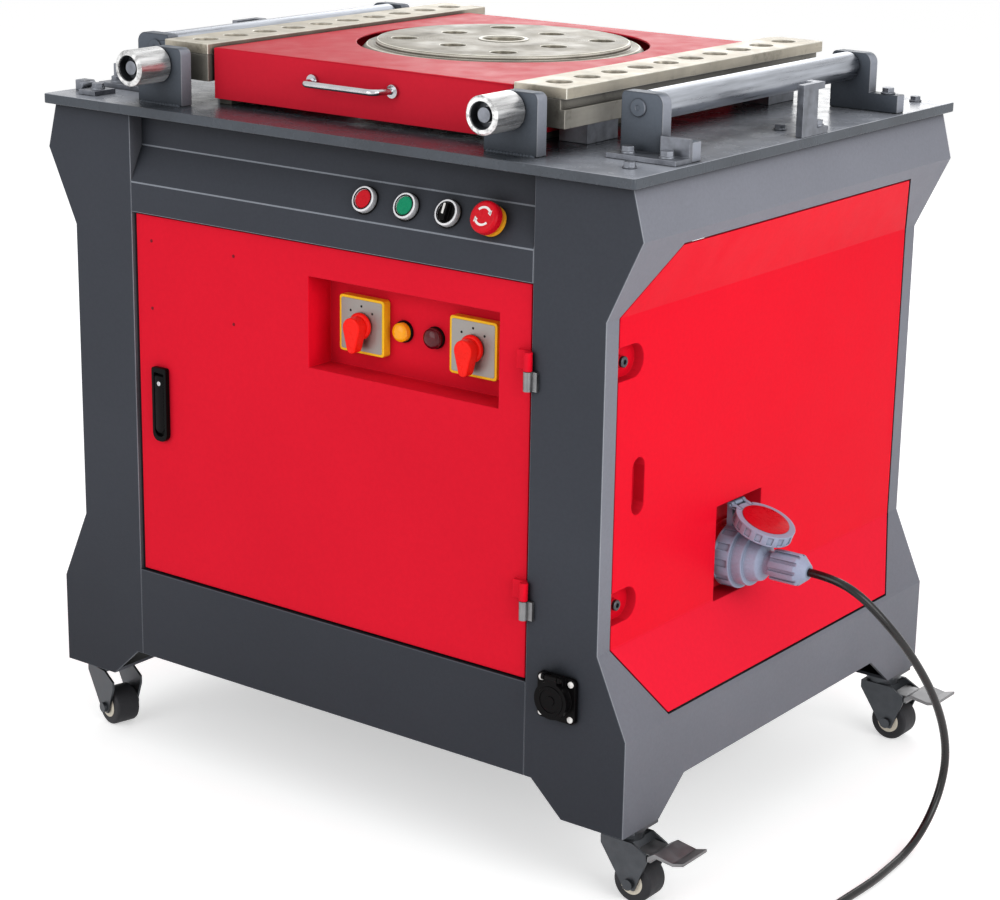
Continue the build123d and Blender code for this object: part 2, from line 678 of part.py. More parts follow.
# Turntable: a raised disc on a chamfered flange, with a centre bore and a circle of holes.
with BuildPart() as work_disc:
    rod_z(0, 0, (DISC_Z[0], DISC_Z[1] - DISC_RAISE), DISC_FLANGE_R)
    chamfer(work_disc.edges().group_by(Axis.Z)[-1], 6)
    rod_z(0, 0, DISC_Z, DISC_R)
    chamfer(work_disc.edges().group_by(Axis.Z)[-1], 2)
    rod_z(0, 0, (DISC_Z[0] - 1, DISC_Z[1] + 1), BORE_R, Mode.SUBTRACT)
    with Locations((0, 0, DISC_Z[1])):
        with PolarLocations(DISC_PCD / 2, DISC_HOLES, DISC_TURN):
            Hole(DISC_HOLE_R, DISC_Z[1] - DISC_Z[0])
        with PolarLocations(DISC_INNER_PCD / 2, DISC_HOLES, DISC_TURN + 180 / DISC_HOLES):
            Hole(DISC_HOLE_R, DISC_Z[1] - DISC_Z[0])
save(work_disc, "work_disc")

with BuildPart() as main_shaft:
    rod_z(0, 0, (GEARBOX_Z[0] + GEARBOX_WALL + 6, DISC_Z[0]), SHAFT_R)
    rod_z(0, 0, (WORM_Z - 20, WORM_Z + 20), WHEEL_R)
save(main_shaft, "main_shaft")

GEARBOX_X = WHEEL_R + GEARBOX_ROOM + GEARBOX_WALL
INNER_Y = (-WHEEL_R - GEARBOX_ROOM, WORM_Y + WORM_R + GEARBOX_ROOM)
with BuildPart() as gearbox_housing:
    block((-GEARBOX_X, GEARBOX_X), (INNER_Y[0] - GEARBOX_WALL, INNER_Y[1] + GEARBOX_WALL), GEARBOX_Z)
    block(
        (-GEARBOX_X + GEARBOX_WALL, GEARBOX_X - GEARBOX_WALL),
        INNER_Y,
        (GEARBOX_Z[0] + GEARBOX_WALL, GEARBOX_Z[1] - GEARBOX_WALL),
        Mode.SUBTRACT,
    )
    rod_z(0, 0, (PLATE_Z, DISC_Z[0] - 12), SHAFT_R + 27)
    collar_z = (GEARBOX_Z[1] - GEARBOX_WALL, DISC_Z[0] - 12)
    rod_z(0, 0, collar_z, SHAFT_R + SIDE_GAP, Mode.SUBTRACT)
    wall_x = (-GEARBOX_X, -GEARBOX_X + GEARBOX_WALL)
    rod_x(WORM_Y, WORM_Z, wall_x, WORM_SHAFT_R + RUN, Mode.SUBTRACT)
save(gearbox_housing, "gearbox_housing")

PULLEY_X = (BELT_X[0] - 5, BELT_X[1] + 5)
with BuildPart() as worm_shaft:
    shaft_x = (PULLEY_X[0] - 10, GEARBOX_X - GEARBOX_WALL - SIDE_GAP)
    rod_x(WORM_Y, WORM_Z, shaft_x, WORM_SHAFT_R)
    rod_x(WORM_Y, WORM_Z, (-60, 60), WORM_R)
    rod_x(WORM_Y, WORM_Z, PULLEY_X, DRIVEN_R)
save(worm_shaft, "worm_shaft")

with BuildPart() as motor_body:
    rod_x(WORM_Y, MOTOR_Z, MOTOR_X, MOTOR_R)
    block(
        (MOTOR_X[0] + 30, MOTOR_X[1] - 30),
        (WORM_Y - MOTOR_FOOT_W / 2, WORM_Y + MOTOR_FOOT_W / 2),
        (MOTOR_Z - MOTOR_R - 10, MOTOR_Z - MOTOR_R + 25),
    )
    block(
        (MOTOR_X[0] + 90, MOTOR_X[1] - 90),
        (WORM_Y - MOTOR_R / 2, WORM_Y + MOTOR_R / 2),
        (MOTOR_Z, MOTOR_Z + MOTOR_R + 25),
    )
save(motor_body, "motor_body")

with BuildPart() as motor_pulley:
    rod_x(WORM_Y, MOTOR_Z, (PULLEY_X[0] - 10, MOTOR_X[0] - SIDE_GAP), WORM_SHAFT_R)
    rod_x(WORM_Y, MOTOR_Z, PULLEY_X, DRIVING_R)
save(motor_pulley, "motor_pulley")


def belt_loop(extra):
    """The outline of a belt that stands off both pulleys by an amount."""
    with BuildSketch(Plane.YZ.offset(BELT_X[0])) as loop:
        with Locations((WORM_Y, WORM_Z)):
            Circle(DRIVEN_R + extra)
        with Locations((WORM_Y, MOTOR_Z)):
            Circle(DRIVING_R + extra)
        make_hull()
    return loop.sketch


with BuildPart() as drive_belt:
    extrude(belt_loop(BELT_GAP + BELT_T), amount=BELT_X[1] - BELT_X[0])
    extrude(belt_loop(BELT_GAP), amount=BELT_X[1] - BELT_X[0], mode=Mode.SUBTRACT)
save(drive_belt, "drive_belt")

# Switch gear on its mounting plate.
with BuildPart() as control_gear:
    block(GEAR_X, (GEAR_Y, GEAR_Y + SHEET), (SILL_Z + SHEET, GEAR_TOP_Z))
    with Locations((sum(GEAR_X) / 2, GEAR_Y, GEAR_TOP_Z - CONTACTOR[2])):
        with GridLocations(CONTACTOR[0] + 9, 1, 4, 1):
            Box(*CONTACTOR, align=(Align.CENTER, Align.MAX, Align.CENTER))
    block((GEAR_X[0] + 15, GEAR_X[1] - 15), (GEAR_Y - 28, GEAR_Y), (GEAR_TOP_Z - 220, GEAR_TOP_Z - 190))
    block((GEAR_X[0] + 20, GEAR_X[0] + 120), (GEAR_Y - 78, GEAR_Y), (GEAR_TOP_Z - 350, GEAR_TOP_Z - 260))
save(control_gear, "control_gear")

# Bezels of the three round controls and the emergency button's collar.
with BuildPart() as control_bezels:
    for plane in BUTTON_PLANES[:3]:
        with Locations(plane * Location((0, 0, BEZEL_H / 2))):
            Cylinder(BUTTON_R + BEZEL_RIM, BEZEL_H)
    for plane in BUTTON_PLANES[:3]:
        with Locations(plane):
            Cylinder(BUTTON_R + RUN, 30, mode=Mode.SUBTRACT)
save(control_bezels, "control_bezels")

with BuildPart() as emergency_collar:
    with Locations(BUTTON_PLANES[3] * Location((0, 0, COLLAR_H / 2))):
        Cylinder(COLLAR_R, COLLAR_H)
    with Locations(BUTTON_PLANES[3]):
        Cylinder(BUTTON_R + RUN, 30, mode=Mode.SUBTRACT)
save(emergency_collar, "emergency_collar")

for name, plane in (("stop_button", BUTTON_PLANES[0]), ("start_button", BUTTON_PLANES[1])):
    with BuildPart() as push_button:
        with Locations(plane * Location((0, 0, (BEZEL_H - CAP_SINK - BUTTON_BACK) / 2))):
            Cylinder(BUTTON_R, BEZEL_H - CAP_SINK + BUTTON_BACK)
        chamfer(push_button.edges().filter_by(GeomType.CIRCLE), 1.2)
    save(push_button, name)

with BuildPart() as selector_knob:
    with Locations(BUTTON_PLANES[2] * Location((0, 0, (BEZEL_H - CAP_SINK - BUTTON_BACK) / 2))):
        Cylinder(BUTTON_R, BEZEL_H - CAP_SINK + BUTTON_BACK)
    with Locations(BUTTON_PLANES[2] * Location((0, 0, BEZEL_H + 1))):
        Box(8, 2 * BUTTON_R - 2.5, 9)
save(selector_knob, "selector_knob")

MUSHROOM_Z = COLLAR_H + MUSHROOM_LIFT
with BuildPart() as emergency_button:
    with Locations(BUTTON_PLANES[3] * Location((0, 0, (MUSHROOM_Z - BUTTON_BACK) / 2))):
        Cylinder(BUTTON_R, MUSHROOM_Z + BUTTON_BACK)
    with Locations(BUTTON_PLANES[3] * Location((0, 0, MUSHROOM_Z + MUSHROOM_H / 2))):
        Cylinder(MUSHROOM_R, MUSHROOM_H)
    fillet(emergency_button.edges().filter_by(GeomType.CIRCLE).sort_by(Axis.Z)[-1:], MUSHROOM_H * 0.4)
save(emergency_button, "emergency_button")

# Door: a pan with a recess for the switches, and its two hinge knuckles.
with BuildPart() as door:
    block((-DOOR_X, DOOR_X), (DOOR_Y, DOOR_Y + DOOR_DEEP), DOOR_Z)
    block(
        (-DOOR_X + DOOR_T, DOOR_X - DOOR_T),
        (DOOR_Y + DOOR_T, DOOR_Y + DOOR_DEEP),
        (DOOR_Z[0] + DOOR_T, DOOR_Z[1] - DOOR_T),
        Mode.SUBTRACT,
    )
    block(
        (RECESS_X[0] - DOOR_T, RECESS_X[1] + DOOR_T),
        (DOOR_Y + DOOR_T, RECESS_Y + DOOR_T),
        (RECESS_Z[0] - DOOR_T, RECESS_Z[1] + DOOR_T),
    )
    block(RECESS_X, (DOOR_Y, RECESS_Y), RECESS_Z, Mode.SUBTRACT)
    for hinge_z in HINGE_ZS:
        knuckle_z = (hinge_z + SIDE_GAP, hinge_z + HINGE_H)
        block((HINGE_X - 18, HINGE_X), (HINGE_Y + HINGE_R - 2, DOOR_Y), knuckle_z)
        rod_z(HINGE_X, HINGE_Y, knuckle_z, HINGE_R)
        rod_z(HINGE_X, HINGE_Y, (hinge_z, hinge_z + HINGE_H - 4), HINGE_PIN_R + RUN, Mode.SUBTRACT)
save(door, "door")

with BuildPart() as hinge_leaves:
    for hinge_z in HINGE_ZS:
        rod_z(HINGE_X, HINGE_Y, (hinge_z - HINGE_H, hinge_z), HINGE_R)
        rod_z(HINGE_X, HINGE_Y, (hinge_z, hinge_z + HINGE_H - 5), HINGE_PIN_R)
        block((HINGE_X + 2, HINGE_X + HINGE_LEAF), (-CAB_Y - 4, -CAB_Y), (hinge_z - HINGE_H, hinge_z))
save(hinge_leaves, "hinge_leaves")

LOCK_PIN = (DOOR_Y - 2.5 - LEVER_T / 2, LOCK_Z[1] - 12)

# Switch plates with the switch bodies behind the door, pilot lamps and the lock's case.
with BuildPart() as door_controls:
    back_y = RECESS_Y + DOOR_T
    half = SWITCH_W / 2
    for switch_x in SWITCH_XS:
        block(
            (switch_x - half, switch_x + half),
            (RECESS_Y - SWITCH_T, RECESS_Y),
            (SWITCH_Z - half, SWITCH_Z + half),
        )
        rod_y(switch_x, SWITCH_Z, (RECESS_Y - SWITCH_T, RECESS_Y), SPINDLE_R + RUN, Mode.SUBTRACT)
        block((switch_x - 25, switch_x + 25), (back_y, back_y + 45), (SWITCH_Z - 25, SWITCH_Z + 25))
    for lamp_x in LAMP_XS:
        rod_y(lamp_x, SWITCH_Z, (RECESS_Y - 3, RECESS_Y), LAMP_R + 2)
        rod_y(lamp_x, SWITCH_Z, (RECESS_Y - 13, RECESS_Y - 3), LAMP_R)
    block((LOCK_X - LOCK_W / 2, LOCK_X + LOCK_W / 2), (DOOR_Y - LOCK_T, DOOR_Y), LOCK_Z)
    fillet(door_controls.edges().filter_by(Axis.Y).sort_by(Axis.X)[:4].group_by(Axis.Z)[0], LOCK_ROUND)
    block(
        (LOCK_X - LOCK_W / 2 + 4, LOCK_X + LOCK_W / 2 - 4),
        (DOOR_Y - LOCK_T, DOOR_Y - 2),
        (LOCK_Z[0] + 7, LOCK_Z[1] - 6),
        Mode.SUBTRACT,
    )
    rod_x(LOCK_PIN[0], LOCK_PIN[1], (LOCK_X - LOCK_W / 2 + 1, LOCK_X + LOCK_W / 2 - 1), LOCK_PIN_R)
save(door_controls, "door_controls")

with BuildPart() as lock_handle:
    lever_x = (LOCK_X - LOCK_W / 2 + 4.5, LOCK_X + LOCK_W / 2 - 4.5)
    lever_y = (LOCK_PIN[0] - LEVER_T / 2, LOCK_PIN[0] + LEVER_T / 2)
    block(lever_x, lever_y, (LOCK_Z[0] + 11, LOCK_PIN[1]))
    fillet(lock_handle.edges().filter_by(Axis.Y).group_by(Axis.Z)[0], 7)
    rod_x(LOCK_PIN[0], LOCK_PIN[1], lever_x, LEVER_T / 2)
    rod_x(LOCK_PIN[0], LOCK_PIN[1], lever_x, LOCK_PIN_R + RUN, Mode.SUBTRACT)
save(lock_handle, "lock_handle")

for side, switch_x in zip(("left", "right"), SWITCH_XS):
    with BuildPart() as switch_knob:
        face_y = RECESS_Y - SWITCH_T
        block((switch_x - 7, switch_x + 7), (face_y - 20, face_y - 6), (SWITCH_Z - 30, SWITCH_Z + 14))
        fillet(switch_knob.edges().filter_by(Axis.Y), 4)
        rod_y(switch_x, SWITCH_Z, (face_y - 6, face_y - SIDE_GAP), KNOB_R)
        rod_y(switch_x, SWITCH_Z, (face_y - SIDE_GAP, RECESS_Y - SIDE_GAP), SPINDLE_R)
    save(switch_knob, f"switch_knob_{side}")

# Service outlet on the right front post, with its flip lid.
OUTLET_Y = -CAB_Y - OUTLET_OUT
OUTLET_PIN = (OUTLET_Y - 3.3, OUTLET[1] + OUTLET_R + 6)
with BuildPart() as service_outlet:
    outlet_plate_y = (-CAB_Y - OUTLET_PLATE, -CAB_Y)
    block((OUTLET[0] - 26, OUTLET[0] + 26), outlet_plate_y, (OUTLET[1] - 27, OUTLET[1] + 27))
    fillet(service_outlet.edges().filter_by(Axis.Y), 6)
    rod_y(*OUTLET, (OUTLET_Y, -CAB_Y - OUTLET_PLATE), OUTLET_R)
    rod_y(*OUTLET, (OUTLET_Y, -CAB_Y - OUTLET_FLOOR), OUTLET_R - 4, Mode.SUBTRACT)
    for ear in (-11, 11):
        ear_x = (OUTLET[0] + ear - 2, OUTLET[0] + ear + 2)
        block(ear_x, (OUTLET_Y, -CAB_Y - OUTLET_PLATE), (OUTLET[1] + OUTLET_R - 3, OUTLET_PIN[1] + 3))
        block(ear_x, (OUTLET_PIN[0] - 3, OUTLET_Y), (OUTLET_PIN[1] - 3, OUTLET_PIN[1] + 3))
    rod_x(*OUTLET_PIN, (OUTLET[0] - 11, OUTLET[0] + 11), OUTLET_PIN_R)
save(service_outlet, "service_outlet")

with BuildPart() as outlet_lid:
    rod_y(*OUTLET, (OUTLET_PIN[0] - 2, OUTLET_Y - SIDE_GAP), OUTLET_R + 1)
    block(
        (OUTLET[0] - 8, OUTLET[0] + 8),
        (OUTLET_PIN[0] - 2, OUTLET_PIN[0] + 2),
        (OUTLET[1] + OUTLET_R - 6, OUTLET_PIN[1]),
    )
    rod_x(*OUTLET_PIN, (OUTLET[0] - 8, OUTLET[0] + 8), 3)
    rod_x(*OUTLET_PIN, (OUTLET[0] - 8, OUTLET[0] + 8), OUTLET_PIN_R + RUN, Mode.SUBTRACT)
save(outlet_lid, "outlet_lid")

# Power inlet in the side niche, and the cable connector pushed on to it.
AXIS_AT = (PLUG_Y, PLUG_Z)
with BuildPart() as power_inlet:
    block((NICHE_X, NICHE_X + 4), (PLUG_Y - 40, PLUG_Y + 40), (PLUG_Z - 40, PLUG_Z + 40))
    fillet(power_inlet.edges().filter_by(Axis.X), 8)
    rod_x(*AXIS_AT, (NICHE_X + 4, NICHE_X + 13), 33)
save(power_inlet, "power_inlet")

RING_X = (NICHE_X + 13, NICHE_X + 35)
with BuildPart() as power_connector:
    with BuildSketch(Plane.XZ.offset(-PLUG_Y)):
        with BuildLine():
            Polyline(
                (RING_X[0], PLUG_Z),
                (RING_X[0], PLUG_Z + RING_R),
                (RING_X[1], PLUG_Z + RING_R),
                (RING_X[1], PLUG_Z + 33),
                (RING_X[1] + 14, PLUG_Z + 32),
                (RING_X[1] + 14, PLUG_Z + 27),
                (RING_X[1] + 28, PLUG_Z + 23),
                (RING_X[1] + 32, PLUG_Z + 14),
                (RING_X[1] + 42, PLUG_Z + 14),
                (RING_X[1] + 42, PLUG_Z + GLAND_R),
                (CABLE_EXIT_X - 12, PLUG_Z + GLAND_R),
                (CABLE_EXIT_X, PLUG_Z + CABLE_D / 2 + 4),
                (CABLE_EXIT_X, PLUG_Z),
                close=True,
            )
        make_face()
    revolve(axis=Axis((0, PLUG_Y, PLUG_Z), (1, 0, 0)))
    with Locations(Plane(origin=(RING_X[0] + 11, *AXIS_AT), x_dir=(0, 1, 0), z_dir=(1, 0, 0))):
        with PolarLocations(RING_R, 12):
            Box(3, 8, 16, mode=Mode.SUBTRACT)
    flute_x = (RING_X[1] + 42, CABLE_EXIT_X - 6)
    with Locations(Plane(origin=(sum(flute_x) / 2, *AXIS_AT), x_dir=(0, 1, 0), z_dir=(1, 0, 0))):
        with PolarLocations(GLAND_R, 10):
            Box(4, 4, flute_x[1] - flute_x[0], mode=Mode.SUBTRACT)
    block((RING_X[0], LIP_X), (PLUG_Y - 8, PLUG_Y + 8), (PLUG_Z + RING_R - 4, LIP_Z))
    rod_y(LIP_X, LIP_Z, (PLUG_Y - 8, PLUG_Y + 8), 4)
    rod_y(LIP_X, LIP_Z, (PLUG_Y - 16, PLUG_Y + 16), LIP_PIN_R)
save(power_connector, "power_connector")

LIP_PLANE = Plane(
    origin=(LIP_X, PLUG_Y, LIP_Z),
    x_dir=(cos(radians(LIP_TILT)), 0, -sin(radians(LIP_TILT))),
    z_dir=(sin(radians(LIP_TILT)), 0, cos(radians(LIP_TILT))),
)
with BuildPart() as connector_lid:
    with Locations(LIP_PLANE * Location((LIP_R + 6, 0, -5))):
        Cylinder(LIP_R, 14)
        Cylinder(LIP_R - 5, 14, align=(Align.CENTER, Align.CENTER, Align.MAX), mode=Mode.SUBTRACT)
        with PolarLocations(LIP_R, 16):
            Box(3, 7, 9, mode=Mode.SUBTRACT)
    for ear_y in (-12, 12):
        with Locations(LIP_PLANE * Location((6, ear_y, 0))):
            Box(16, 6, 5)
        with Locations(LIP_PLANE * Location((0, ear_y, 0), (90, 0, 0))):
            Cylinder(4, 6)
            Cylinder(LIP_PIN_R + RUN, 8, mode=Mode.SUBTRACT)
save(connector_lid, "connector_lid")

# Cable: out of the gland, down to the floor and forward along it to the coil.
COIL_Z = CABLE_D / 2 + 1
CABLE_ROUTE = [
    (CABLE_EXIT_X, PLUG_Y, PLUG_Z),
    (CABLE_EXIT_X + 30, PLUG_Y, PLUG_Z),
    (564, -51, 328),
    (596, -33, 290),
    (613, -2, 246),
    (624, 32, 194),
    (628, 57, 146),
    (628, 70, 102),
    (626, 65, 64),
    (624, 46, 34),
    (624, 16, 15),
    (625, -20, COIL_Z),
    (628, -62, COIL_Z),
    (630, -104, COIL_Z),
    (627, -162, COIL_Z),
    (COIL_CENTRE[0] - COIL_R, -238, COIL_Z),
    (COIL_CENTRE[0] - COIL_R, COIL_CENTRE[1] + CABLE_D, COIL_Z),
]


def corner_radii(points):
    """The largest arc that each corner's two runs allow."""
    radii = []
    for a, b, c in zip(points, points[1:], points[2:]):
        run_in = Vector(*b) - Vector(*a)
        run_out = Vector(*c) - Vector(*b)
        turn = radians(run_in.get_angle(run_out))
        radii.append(0.45 * min(run_in.length, run_out.length) / tan(turn / 2))
    return radii


CABLE_RADII = corner_radii(CABLE_ROUTE)
with BuildPart() as power_cable:
    with BuildLine() as cable_line:
        FilletPolyline(*CABLE_ROUTE, radius=CABLE_RADII)
    with BuildSketch(Plane(cable_line.line @ 0, z_dir=cable_line.line % 0)):
        Circle(CABLE_D / 2)
    sweep()
save(power_cable, "power_cable")

# Coil: half turns that spiral in on the floor, climb on a tilted half turn and spiral out on top.
# The last half turn swings wide to lay the plug beside the coil.
coil_ends = [(-COIL_R, COIL_Z)]
for half_turn in range(1, COIL_HALF_TURNS + 1):
    reach = COIL_R - half_turn * COIL_STEP / 2
    coil_ends.append((reach if half_turn % 2 else -reach, COIL_Z))
inner = coil_ends[-1][0]
for half_turn in range(COIL_HALF_TURNS - 1):
    reach = abs(inner) + half_turn * COIL_STEP / 2
    coil_ends.append((-reach if half_turn % 2 == 0 else reach, COIL_Z + COIL_LAYER))
coil_ends.append((-PLUG_REST_X, PLUG_REST_Z))


def coil_arc(start, end, side):
    """Start, middle and end of a half turn between two points of the coil's cross line."""
    x, y = COIL_CENTRE
    radius = hypot(end[0] - start[0], end[1] - start[1]) / 2
    middle = (x + (start[0] + end[0]) / 2, y + side * radius, (start[1] + end[1]) / 2)
    return (x + start[0], y, start[1]), middle, (x + end[0], y, end[1])


coil_arcs = []
for count, (start, end) in enumerate(zip(coil_ends, coil_ends[1:])):
    coil_arcs.append(coil_arc(start, end, -1 if count % 2 == 0 else 1))

PLUG_REST = Vector(*coil_arcs[-1][2])
with BuildPart() as cable_coil:
    with BuildLine() as coil_line:
        Line(CABLE_ROUTE[-1], coil_arcs[0][0])
        for start, middle, end in coil_arcs:
            ThreePointArc(start, middle, end)
        Line(PLUG_REST, PLUG_REST - Vector(0, CABLE_D, 0))
    with BuildSketch(Plane(coil_line.line @ 0, z_dir=coil_line.line % 0)):
        Circle(CABLE_D / 2)
    sweep()
save(cable_coil, "cable_coil")

# Plug at the cable's end.
PLUG_START_Y = PLUG_REST.Y - CABLE_D
with BuildPart() as cable_end_plug:
    plug_x, plug_z = PLUG_REST.X, PLUG_REST.Z
    rod_y(plug_x, plug_z, (PLUG_START_Y - 32, PLUG_START_Y), 15)
    rod_y(plug_x, plug_z, (PLUG_START_Y - 84, PLUG_START_Y - 32), 22)
    rod_y(plug_x, plug_z, (PLUG_START_Y - 108, PLUG_START_Y - 84), 25)
    rod_y(plug_x, plug_z, (PLUG_START_Y - 120, PLUG_START_Y - 88), 20, Mode.SUBTRACT)
    with Locations(Plane(origin=(plug_x, PLUG_START_Y - 95, plug_z), x_dir=(1, 0, 0), z_dir=(0, -1, 0))):
        with PolarLocations(11, 5):
            Cylinder(3, 22)
save(cable_end_plug, "cable_end_plug")


def least_gap(line, radius, apart):
    """The least gap of a tube to itself, on points that are further apart along it than a length."""
    count = int(line.length / 8)
    points = [line @ (k / count) for k in range(count + 1)]
    skip = int(apart / line.length * count) + 1
    return min(
        (points[i] - points[j]).length - 2 * radius
        for i in range(count + 1)
        for j in range(i + skip, count + 1)
    )


print("cable radii", [round(r) for r in CABLE_RADII])
print("cable length", round(cable_line.wire().length), "coil length", round(coil_line.wire().length))
print("cable volume ratio", power_cable.part.volume / (pi * CABLE_D**2 / 4 * cable_line.wire().length))
print("coil least gap", round(least_gap(coil_line.wire(), CABLE_D / 2, 100), 2))

# Casters: plates with king pins under the feet, then a fork, a wheel and a brake pedal each.
HEAD_Z = (FOOT_Z - 11, FOOT_Z)
with BuildPart() as caster_plates:
    for swivel_y in (FRONT_SWIVEL_Y, REAR_SWIVEL_Y):
        with Locations((SWIVEL_X, swivel_y, FOOT_Z)):
            Box(*CASTER_PLATE, align=(Align.CENTER, Align.CENTER, Align.MAX))
        rod_z(SWIVEL_X, swivel_y, HEAD_Z, SADDLE_R)
        rod_z(SWIVEL_X, swivel_y, (HEAD_Z[0] - 11, HEAD_Z[0]), KING_R)
    mirror(about=Plane.YZ)
save(caster_plates, "caster_plates")

CROWN_Z = (HEAD_Z[0] - 7, HEAD_Z[0] - SIDE_GAP)
CROWN_PLATE_Z = (CROWN_Z[0], CROWN_Z[0] + LEG_T)
LEG_Y = TYRE_W / 2 + LEG_ROOM
PIN_X = TRAIL + 14
PIN_Z = 2 * TYRE_R + 12
CASTERS = {
    "front_left": (-SWIVEL_X, FRONT_SWIVEL_Y, LEFT_TURN, False),
    "front_right": (SWIVEL_X, FRONT_SWIVEL_Y, 0, True),
    "rear_left": (-SWIVEL_X, REAR_SWIVEL_Y, LEFT_TURN, False),
    "rear_right": (SWIVEL_X, REAR_SWIVEL_Y, 0, True),
}
for name, (swivel_x, swivel_y, turn, braked) in CASTERS.items():
    hub_x = swivel_x + TRAIL
    king_axis = Axis((swivel_x, swivel_y, 0), (0, 0, 1))
    leg_outline = [
        (swivel_x - 20, CROWN_PLATE_Z[1]),
        (hub_x + 2, CROWN_PLATE_Z[1]),
        (hub_x + 22, CROWN_PLATE_Z[1] - 10),
        (hub_x + 22, CROWN_PLATE_Z[1] - 20),
        (hub_x + LEG_FOOT, TYRE_R - LEG_FOOT),
        (hub_x - LEG_FOOT, TYRE_R - LEG_FOOT),
        (swivel_x - 20, CROWN_PLATE_Z[1] - 10),
    ]
    with BuildPart() as fork:
        for leg in (-1, 1):
            leg_y = sorted((swivel_y + leg * LEG_Y, swivel_y + leg * (LEG_Y + LEG_T)))
            plate_y(leg_outline, leg_y)
            nut_y = sorted((swivel_y + leg * (LEG_Y + LEG_T), swivel_y + leg * (LEG_Y + LEG_T + 4)))
            rod_y(hub_x, TYRE_R, nut_y, AXLE_R + 2.5)
        block(
            (swivel_x - 20, hub_x - 2),
            (swivel_y - LEG_Y - LEG_T, swivel_y + LEG_Y + LEG_T),
            CROWN_PLATE_Z,
        )
        rod_z(swivel_x, swivel_y, CROWN_Z, SADDLE_R - 1)
        rod_z(swivel_x, swivel_y, CROWN_Z, KING_R + RUN, Mode.SUBTRACT)
        rod_y(hub_x, TYRE_R, (swivel_y - LEG_Y, swivel_y + LEG_Y), AXLE_R)
        if braked:
            rod_y(swivel_x + PIN_X, PIN_Z, (swivel_y - LEG_Y, swivel_y + LEG_Y), PEDAL_PIN_R)
    with BuildPart() as turned_fork:
        add(fork.part.rotate(king_axis, turn))
    save(turned_fork, f"caster_fork_{name}")
    with BuildPart() as wheel:
        tyre_y = (swivel_y - TYRE_W / 2, swivel_y + TYRE_W / 2)
        rod_y(hub_x, TYRE_R, tyre_y, TYRE_R)
        fillet(wheel.edges().filter_by(GeomType.CIRCLE), 4)
        rod_y(hub_x, TYRE_R, tyre_y, AXLE_R + RUN, Mode.SUBTRACT)
    with BuildPart() as turned_wheel:
        add(wheel.part.rotate(king_axis, turn))
    save(turned_wheel, f"caster_wheel_{name}")
    if braked:
        pin_x = swivel_x + PIN_X
        tread = [
            (pin_x + 11, PIN_Z - 2),
            (pin_x + 22, PIN_Z + 6),
            (pin_x + PEDAL_REACH - 14, PIN_Z + 3),
            (pin_x + PEDAL_REACH, PIN_Z + 7),
            (pin_x + PEDAL_REACH, PIN_Z + 11),
            (pin_x + PEDAL_REACH - 14, PIN_Z + 7),
            (pin_x + 20, PIN_Z + 11),
            (pin_x + 11, PIN_Z + 5),
        ]
        shank = [
            (pin_x + 12, PIN_Z + 5),
            (pin_x - 8, PIN_Z + 6),
            (pin_x - 8, PIN_Z - 5),
            (pin_x + 12, PIN_Z - 5),
        ]
        with BuildPart() as pedal:
            plate_y(tread, (swivel_y - PEDAL_W / 2, swivel_y + PEDAL_W / 2))
            plate_y(shank, (swivel_y - LEG_Y + 1, swivel_y + LEG_Y - 1))
            bore_y = (swivel_y - LEG_Y, swivel_y + LEG_Y)
            rod_y(pin_x, PIN_Z, bore_y, PEDAL_PIN_R + RUN, Mode.SUBTRACT)
        save(pedal, f"brake_pedal_{name}")
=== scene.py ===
import json
import math
import bmesh
import bpy
from mathutils import Matrix, Vector


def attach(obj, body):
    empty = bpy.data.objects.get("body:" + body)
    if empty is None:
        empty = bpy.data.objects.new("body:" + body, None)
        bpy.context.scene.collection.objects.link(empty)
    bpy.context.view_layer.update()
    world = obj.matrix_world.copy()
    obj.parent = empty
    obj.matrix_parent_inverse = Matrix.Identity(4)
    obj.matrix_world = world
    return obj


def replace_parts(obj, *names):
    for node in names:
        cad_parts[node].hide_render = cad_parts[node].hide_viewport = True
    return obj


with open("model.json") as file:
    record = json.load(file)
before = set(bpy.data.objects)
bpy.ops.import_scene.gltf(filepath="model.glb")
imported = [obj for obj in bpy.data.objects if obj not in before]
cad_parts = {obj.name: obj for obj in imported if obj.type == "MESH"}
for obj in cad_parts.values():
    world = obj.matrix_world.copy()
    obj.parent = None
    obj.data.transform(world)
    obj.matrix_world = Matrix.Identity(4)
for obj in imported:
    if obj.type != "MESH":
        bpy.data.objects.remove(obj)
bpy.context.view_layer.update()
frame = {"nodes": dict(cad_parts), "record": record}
nodes = frame["nodes"]
scene = bpy.context.scene
scene.view_settings.view_transform = "Standard"


# Camera at the photograph's viewing angle: azimuth, elevation and roll in degrees, place in metres.
CAMERA_ANGLES = (36.68, 16.55, 0.94)
CAMERA_AT = (1.84046, -2.46407, 1.29660)
CAMERA_LENS, CAMERA_SENSOR = 89.5, 36


def place_camera():
    azimuth, elevation, roll = (math.radians(a) for a in CAMERA_ANGLES)
    forward = Vector((-math.sin(azimuth) * math.cos(elevation),
                      math.cos(azimuth) * math.cos(elevation), -math.sin(elevation)))
    right = Vector((math.cos(azimuth), math.sin(azimuth), 0))
    up = right.cross(forward)
    axis_x = right * math.cos(roll) + up * math.sin(roll)
    axis_y = up * math.cos(roll) - right * math.sin(roll)
    matrix = Matrix((axis_x, axis_y, -forward)).transposed().to_4x4()
    matrix.translation = CAMERA_AT
    data = bpy.data.cameras.new("camera")
    data.lens = CAMERA_LENS
    data.sensor_width = CAMERA_SENSOR
    data.sensor_fit = "HORIZONTAL"
    camera = bpy.data.objects.new("camera", data)
    camera.matrix_world = matrix
    scene.collection.objects.link(camera)
    scene.camera = camera


place_camera()


